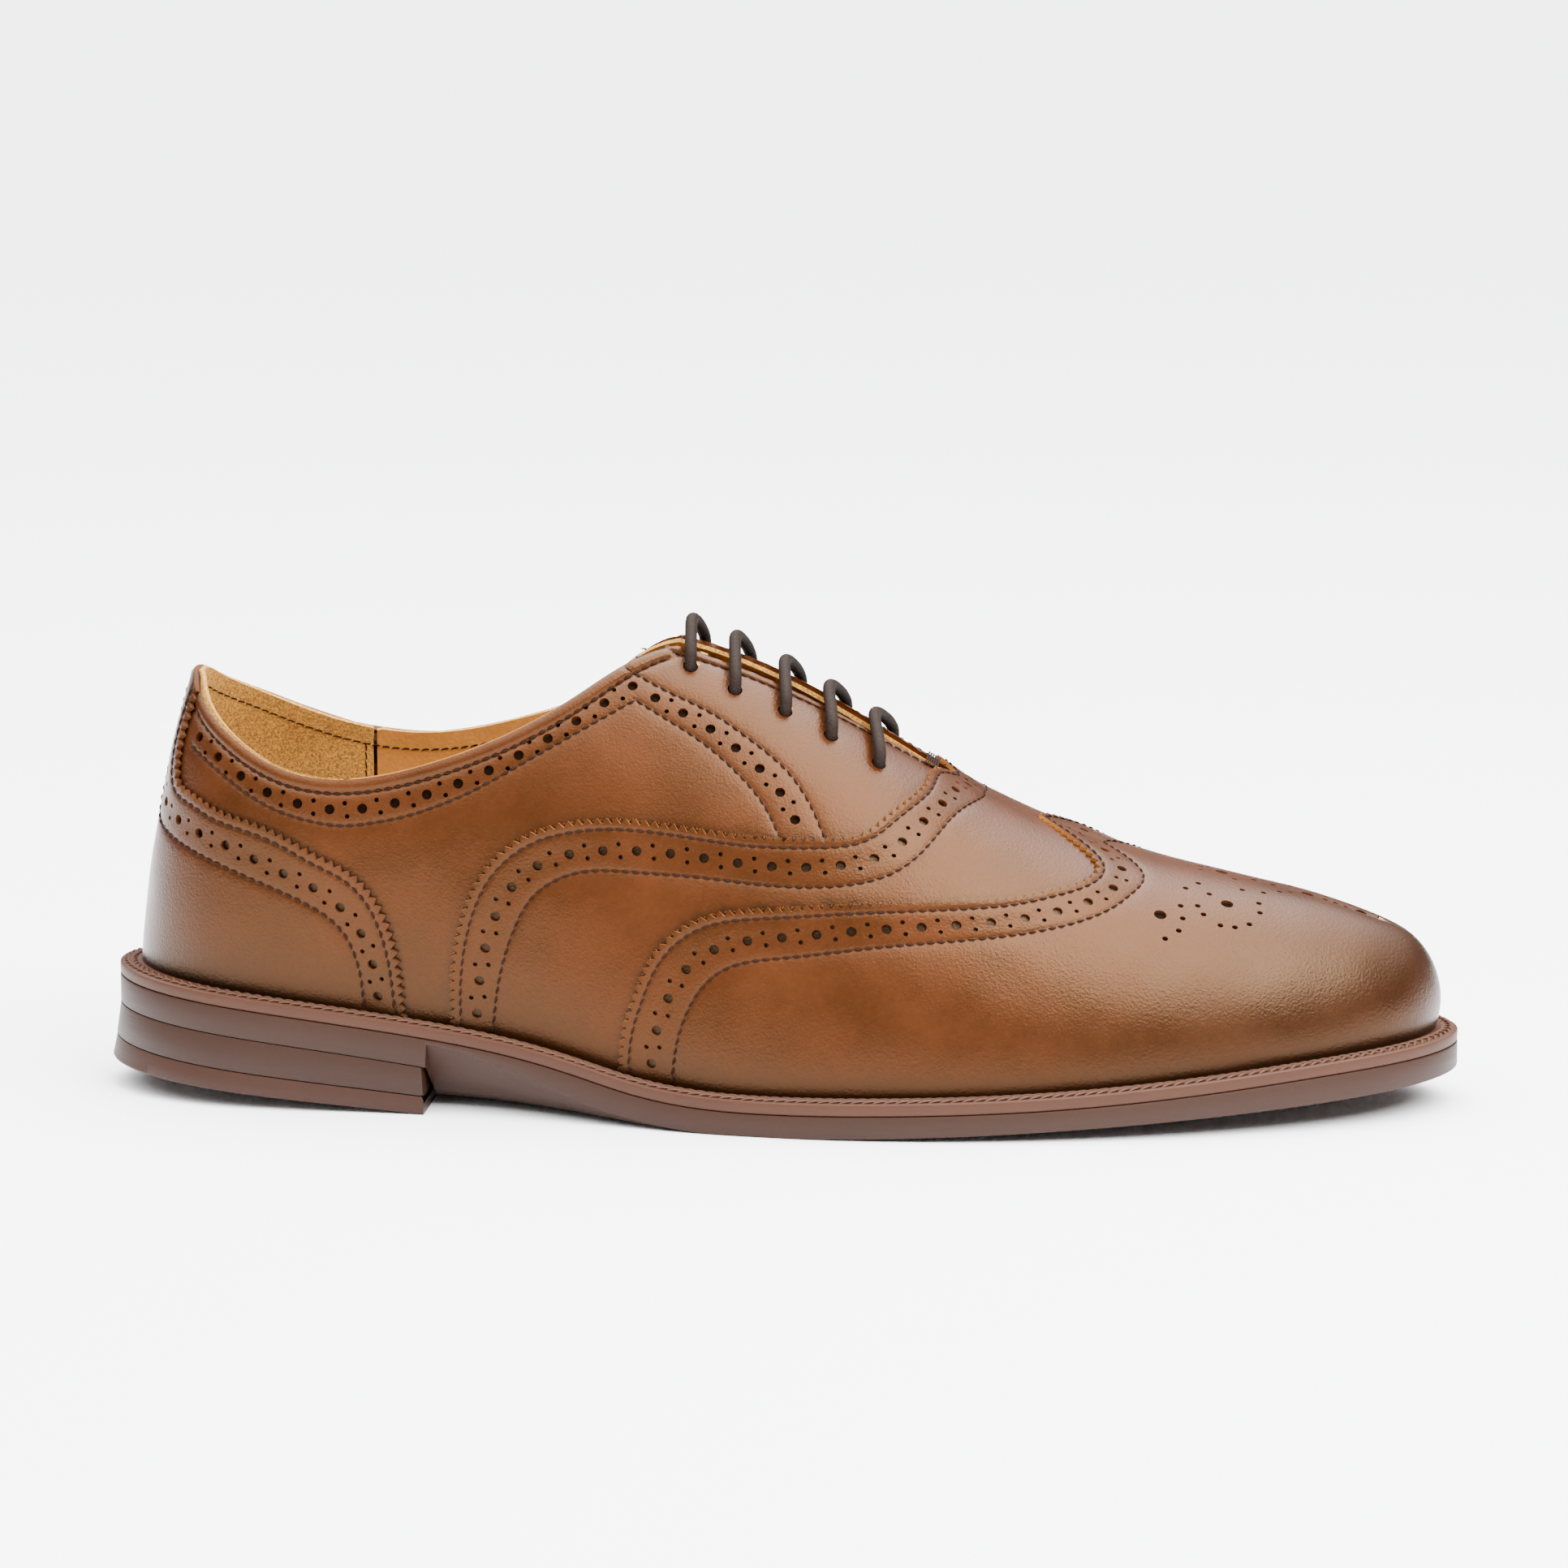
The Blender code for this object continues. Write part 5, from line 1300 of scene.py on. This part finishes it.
rows = [beside(vamp_line, -FIRST_ROW), run_of(both_sides(VAMP_ROW), fine=1400)]
under_cap_line = run_of(both_sides(UNDER_CAP), 1.6 * MM)
foot = straight((VAMP_SEAM[0][0], 0), (UNDER_CAP[0][0], 0))
outline = loop_of(foot, under_cap_line, mirrored(foot)[::-1], gimped(vamp_line)[::-1])
below = loop_of(cap_line[::4], straight((CAP_SEAM[0][0], 2), (HALF_TOUR, 2)),
                straight((HALF_TOUR, 2), (HALF_TOUR, 0)), straight((HALF_TOUR, 0), (CAP_SEAM[0][0], 0)))
item, vamp_seat = stitched_panel("vamp_calf", outline, [vamp_line], rows,
                                 brogue(midway(*rows), 4 * MM, 4 * MM), raw_gold, (cap_line, below))
on_shoe(item, "upper_leather", "vamp")
sewn("vamp_stitches", rows, [lambda real, sv: vamp_seat(real, sv) + 0.22 * MM] * 2)
frayed("vamp_edge_fibres", vamp_line, 1.0 * MM, loose_fibre)


# ------------------------------------------------------------------ wing cap
# Its wings run back to the waist and its point lies on the ridge. The toe carries a
# medallion of large and small punch holes.

CAP_ROW = [(4.95, 0.0), (5.01, 0.138), (5.07, 0.19), (5.15, 0.232), (5.27, 0.267), (5.61, 0.304),
           (6.28, 0.367), (6.76, 0.42), (7.27, 0.497), (7.66, 0.60), (7.83, 0.678), (7.97, 0.776),
           (7.92, 0.898), (7.84, 1.0)]
# Plan position from the heel's back and from the middle, mm
MEDALLION_BIG = [(243.9, -23.2), (258.8, -15)]
MEDALLION_SMALL = [(252.2, -18.1), (253.6, -19.8), (257.5, -21), (260.8, -20.3), (264, -18.5), (266.3, -14.7),
                   (266, -11.9), (262.1, -8.3), (254.7, -13.5), (245.2, -27.5), (248.2, -25.1),
                   (249, -22.3), (248.4, -19.5), (249.3, -13.8), (252.1, -10.5), (252.4, -1.2),
                   (260.2, -2.5), (267, -7), (270.6, -4), (273.1, -1.9)]
STAR_BIG = 1.5 * MM         # radii of the medallion's punches
STAR_SMALL = 0.72 * MM
MEDALLION_MIDDLE = [((257.1, 2), STAR_BIG), ((277, 1.8), STAR_BIG), ((289.3, 2.4), STAR_BIG),
                    ((264.6, 2), STAR_SMALL), ((269, 2), STAR_SMALL), ((281.0, 2), STAR_SMALL),
                    ((283.4, 2), STAR_SMALL), ((285.8, 2.2), STAR_SMALL)]


def from_plan(x, y):
    """Form coordinates of a spot on top of the toe, seen from above."""
    grid = np.stack(np.meshgrid(np.linspace(7.5, 10.9, 40), np.linspace(0.4, 1.0, 25)), -1).reshape(-1, 2)
    goal = np.array([x, y, 0]) * MM
    flat = on_form(grid) * (1, 1, 0) - goal
    spot = grid[[np.argmin(np.linalg.norm(flat, axis=1))]]
    for _ in range(6):
        miss = (goal - on_form(spot)) * (1, 1, 0)
        spot = shifted(spot, miss)
    return spot[0]


marks = []
for plan, radius in [(p, STAR_BIG) for p in MEDALLION_BIG] + [(p, STAR_SMALL) for p in MEDALLION_SMALL]:
    spot = from_plan(*plan)
    marks += [(spot, radius), (np.array([spot[0], 2 - spot[1]]), radius)]
marks += [(from_plan(*plan), radius) for plan, radius in MEDALLION_MIDDLE]
rows = [beside(cap_line, -FIRST_ROW), run_of(both_sides(CAP_ROW), fine=1400)]
foot = straight((CAP_SEAM[0][0], 0), (HALF_TOUR, 0))
outline = loop_of(foot, straight((HALF_TOUR, 0), (HALF_TOUR, 2)), mirrored(foot)[::-1],
                  gimped(cap_line)[::-1])
item, cap_seat = stitched_panel("wing_cap_calf", outline, [cap_line], rows,
                                brogue(midway(*rows), 4 * MM, 4 * MM) + marks, raw_gold)
on_shoe(item, "cap_leather", "wing_cap")
sewn("cap_stitches", rows, [lambda real, sv: cap_seat(real, sv) + 0.22 * MM] * 2)
frayed("cap_edge_fibres", cap_line, 1.0 * MM, loose_fibre)


# ------------------------------------------------------------------ tongue
# Calf with a golden lining behind it, cut as one leaf and sewn in under the throat. It lies
# below the lace, between the facings, and folds inwards on its sewn base.

TONGUE_STRAIGHT = 5.0       # beyond this station the tongue runs on straight
TONGUE_BASE = 7.2
TONGUE_TOP = 5.02
TONGUE_SIDE = [(5.02, 0.74), (5.5, 0.72), (6.6, 0.80), (7.09, 0.88)]
TONGUE_NEAR = -2.8 * MM     # depth at its sewn base, and below the lace
TONGUE_DEPTH = -8.1 * MM
TONGUE = 1.5 * MM


def tongue_place(sv, drop):
    turned = sv[:, 0]
    held = np.maximum(turned, TONGUE_STRAIGHT)
    kept = np.stack([held, sv[:, 1]], 1)
    depth = TONGUE_NEAR + (TONGUE_DEPTH - TONGUE_NEAR) * np.clip((TONGUE_BASE - held) / 0.55, 0, 1) - drop
    tip = np.array([[TONGUE_STRAIGHT, 1.0], [TONGUE_STRAIGHT + 0.3, 1.0]])
    onwards = (on_form(tip[:1]) - on_form(tip[1:])) / 0.3
    return on_form(kept) + form_normal(kept) * depth[:, None] + (held - turned)[:, None] * onwards


rounded = run_of([(TONGUE_TOP, 1.0), (5.02, 0.92), (5.04, 0.85), (5.12, 0.78), (5.3, 0.735)], 1.2 * MM)
half = loop_of(rounded, run_of([(5.3, 0.735)] + TONGUE_SIDE[1:], 1.6 * MM),
               straight(TONGUE_SIDE[-1], (TONGUE_BASE, 1)))
edge = loop_of(half, mirrored(half)[::-1])
for name, slot, node, drop, look, thick in (
        ("tongue_calf", "tongue_leather", "tongue", 0.0, quarter_calf, TONGUE),
        ("tongue_suede", "lining_leather", "tongue_lining", TONGUE + 0.3 * MM, nap_suede, 1.0 * MM)):
    sv, faces = flat_cut(edge, [], [], 2.0 * MM)
    item = thickened(name, tongue_place(sv, drop), faces, on_form(sv), [look], thick)
    on_shoe(item, slot, node, body="tongue")


# ------------------------------------------------------------------ eyelets, lace and bar tack
# Blind brass eyelets are set inside the facings. One round waxed cotton lace crosses them in
# five bars, its ends tucked in, and a sewn bar closes the throat below it.

# Pressed brass, dulled by handling: brown-gold metal with a soft shine.
eyelet_brass, shader = finish_named("aged_eyelet_brass")
shader.inputs["Base Color"].default_value = srgb("#7A5A30")
shader.inputs["Metallic"].default_value = 1.0
shader.inputs["Roughness"].default_value = 0.38
for node in [item for item in bpy.data.objects if item.name.startswith("eyelet_")]:
    node.data.materials.clear()
    node.data.materials.append(eyelet_brass)

LACE = 1.45 * MM
LACE_DEPTH = -5.45 * MM
SIDEWAYS = 0.043
BAR_ARCH = [(0.022, 0.3 * MM), (0.07, 0.8 * MM)]
BAR_CREST = 1.0 * MM


def lace_point(side, s, t, height):
    spot = np.array([[s, t if side == "lateral" else 2 - t]])
    return (on_form(spot) + form_normal(spot) * height)[0]


def lace_through(side, number, outwards):
    s, t = EYELETS[number - 1]
    points = [lace_point(side, s, t, z) for z in (LACE_DEPTH, LACE_DEPTH / 2, 0.4 * MM)]
    return points if outwards else points[::-1]


def lace_bar(number, start):
    s, t = EYELETS[number - 1]
    other = "medial" if start == "lateral" else "lateral"
    rise = LACE + 0.6 * MM
    climb = [lace_point(start, s, t + ahead, rise + up) for ahead, up in BAR_ARCH]
    fall = [lace_point(other, s, t + ahead, rise + up) for ahead, up in BAR_ARCH[::-1]]
    return (lace_through(start, number, True) + climb + [lace_point(start, s, 1.0, rise + BAR_CREST)] + fall
            + lace_through(other, number, False))


def lace_under(side, skipped, sideways):
    s, t = EYELETS[skipped - 1]
    return [lace_point(side, s, t + sideways, LACE_DEPTH)]


def smooth_route(points, step):
    """Centripetal Catmull-Rom run through the points, at even steps."""
    points = np.array(points)
    padded = np.concatenate([[2 * points[0] - points[1]], points, [2 * points[-1] - points[-2]]])
    run = []
    for a, b, c, d in zip(padded, padded[1:], padded[2:], padded[3:]):
        spans = [np.linalg.norm(q - p) ** 0.5 for p, q in ((a, b), (b, c), (c, d))]
        k = np.concatenate([[0.0], np.cumsum(spans)])
        for u in np.linspace(k[1], k[2], 24, endpoint=False):
            ab, bc, cd = ((p * (k[i + 1] - u) + q * (u - k[i])) / (k[i + 1] - k[i])
                          for i, p, q in ((0, a, b), (1, b, c), (2, c, d)))
            abc = (ab * (k[2] - u) + bc * (u - k[0])) / (k[2] - k[0])
            bcd = (bc * (k[3] - u) + cd * (u - k[1])) / (k[3] - k[1])
            run.append((abc * (k[2] - u) + bcd * (u - k[1])) / (k[2] - k[1]))
    run = np.array(run + [points[-1]])
    length = np.concatenate([[0], np.cumsum(np.linalg.norm(np.diff(run, axis=0), axis=1))])
    where = np.linspace(0, length[-1], int(length[-1] / step))
    return np.stack([np.interp(where, length, run[:, k]) for k in range(3)], 1)


s, t = EYELETS[0]
route = [lace_point("lateral", s - 0.35, t + SIDEWAYS - 0.03, LACE_DEPTH),
         lace_point("lateral", s, t + SIDEWAYS, LACE_DEPTH)]
route += lace_bar(2, "lateral") + lace_under("medial", 3, -SIDEWAYS)
route += lace_bar(4, "medial") + lace_bar(5, "lateral") + lace_under("medial", 4, SIDEWAYS)
route += lace_bar(3, "medial") + lace_under("lateral", 2, -SIDEWAYS) + lace_bar(1, "lateral")
route += [lace_point("medial", s - 0.35, t - 0.03, LACE_DEPTH)]

lace_cord, shader = finish_named("waxed_cotton_lace")
# Dark brown braided cotton with a trace of wax: strands lighter on top than in between.
place = put(lace_cord, "ShaderNodeTexCoord").outputs["Object"]
fibre = put(lace_cord, "ShaderNodeTexNoise", {"Vector": place, "Scale": 1 / (0.35 * MM), "Detail": 3.0})
fuzz = put(lace_cord, "ShaderNodeMapRange", {"Value": fibre.outputs[0], "From Min": 0.35, "From Max": 0.65})
strand = put(lace_cord, "ShaderNodeMix", {0: fuzz.outputs[0], 6: srgb("#0E0805"), 7: srgb("#20140D")},
             data_type='RGBA')
link(lace_cord, strand.outputs[2], shader, "Base Color")
shader.inputs["Roughness"].default_value = 0.72
shader.inputs["Specular IOR Level"].default_value = 0.12

BRAID_SIDES = 32
STRANDS = 8
BRAID_LAY = 5.2 * MM        # a strand's way along the cord in one turn round it


def braided(name, run, radius, look):
    """Round braid along a run: strands cross in diamonds, each standing proud of the core."""
    way = np.gradient(run, axis=0)
    way /= np.linalg.norm(way, axis=1, keepdims=True)
    across = [np.cross(way[0], (0.3, 0.2, 1.0))]
    for w in way[1:]:
        across.append(across[-1] - w * np.dot(across[-1], w))
        across[-1] /= np.linalg.norm(across[-1])
    across = np.array(across)
    across[0] /= np.linalg.norm(across[0])
    up = np.cross(way, across)
    along = np.concatenate([[0], np.cumsum(np.linalg.norm(np.diff(run, axis=0), axis=1))])
    turn = 2 * math.pi * np.arange(BRAID_SIDES) / BRAID_SIDES
    lay = 2 * math.pi * along[:, None] * STRANDS / BRAID_LAY
    one, two = (STRANDS * turn + lay) / 2, (STRANDS * turn - lay) / 2
    bump = np.abs(np.sin(one) * np.sin(two)) ** 0.6
    size = radius * (0.86 + 0.14 * bump)
    around = across[:, None] * np.cos(turn)[:, None] + up[:, None] * np.sin(turn)[:, None]
    points = (run[:, None] + around * size[..., None]).reshape(-1, 3)
    faces = [(j * BRAID_SIDES + k, j * BRAID_SIDES + (k + 1) % BRAID_SIDES,
              (j + 1) * BRAID_SIDES + (k + 1) % BRAID_SIDES, (j + 1) * BRAID_SIDES + k)
             for j in range(len(run) - 1) for k in range(BRAID_SIDES)]
    last = (len(run) - 1) * BRAID_SIDES
    faces += [tuple(range(BRAID_SIDES))[::-1], tuple(range(last, last + BRAID_SIDES))]
    item = new_object(name, points - (CENTRE, 0, 0), faces, [look])
    return smoothed(item, sharp=60)


on_shoe(braided("braided_lace", smooth_route(route, 0.18 * MM), LACE, lace_cord), "lace_cord", "lace")

TACK_ROWS = 6
TACK_PLACE = 6.72
TACK_PITCH = 0.014
bars, tips, ups = [], [], []
for row in range(TACK_ROWS):
    s = TACK_PLACE + (row - (TACK_ROWS - 1) / 2) * TACK_PITCH
    for hand in (-1, 1):
        for a, b in ((0.0, 3.0), (3.0, 6.0)):
            spot = np.array([[s, 1.0]])
            normal = form_normal(spot)[0]
            middle = on_form(spot)[0] + normal * 0.9 * MM
            bars.append(middle + np.array((0, hand * a * MM, 0)))
            tips.append(middle + np.array((0, hand * b * MM, 0)))
            ups.append(normal)
on_shoe(strokes("bar_tack_threads", bars, tips, ups, 0.26 * MM, 0.3 * MM, thread), "thread", "bar_tack")
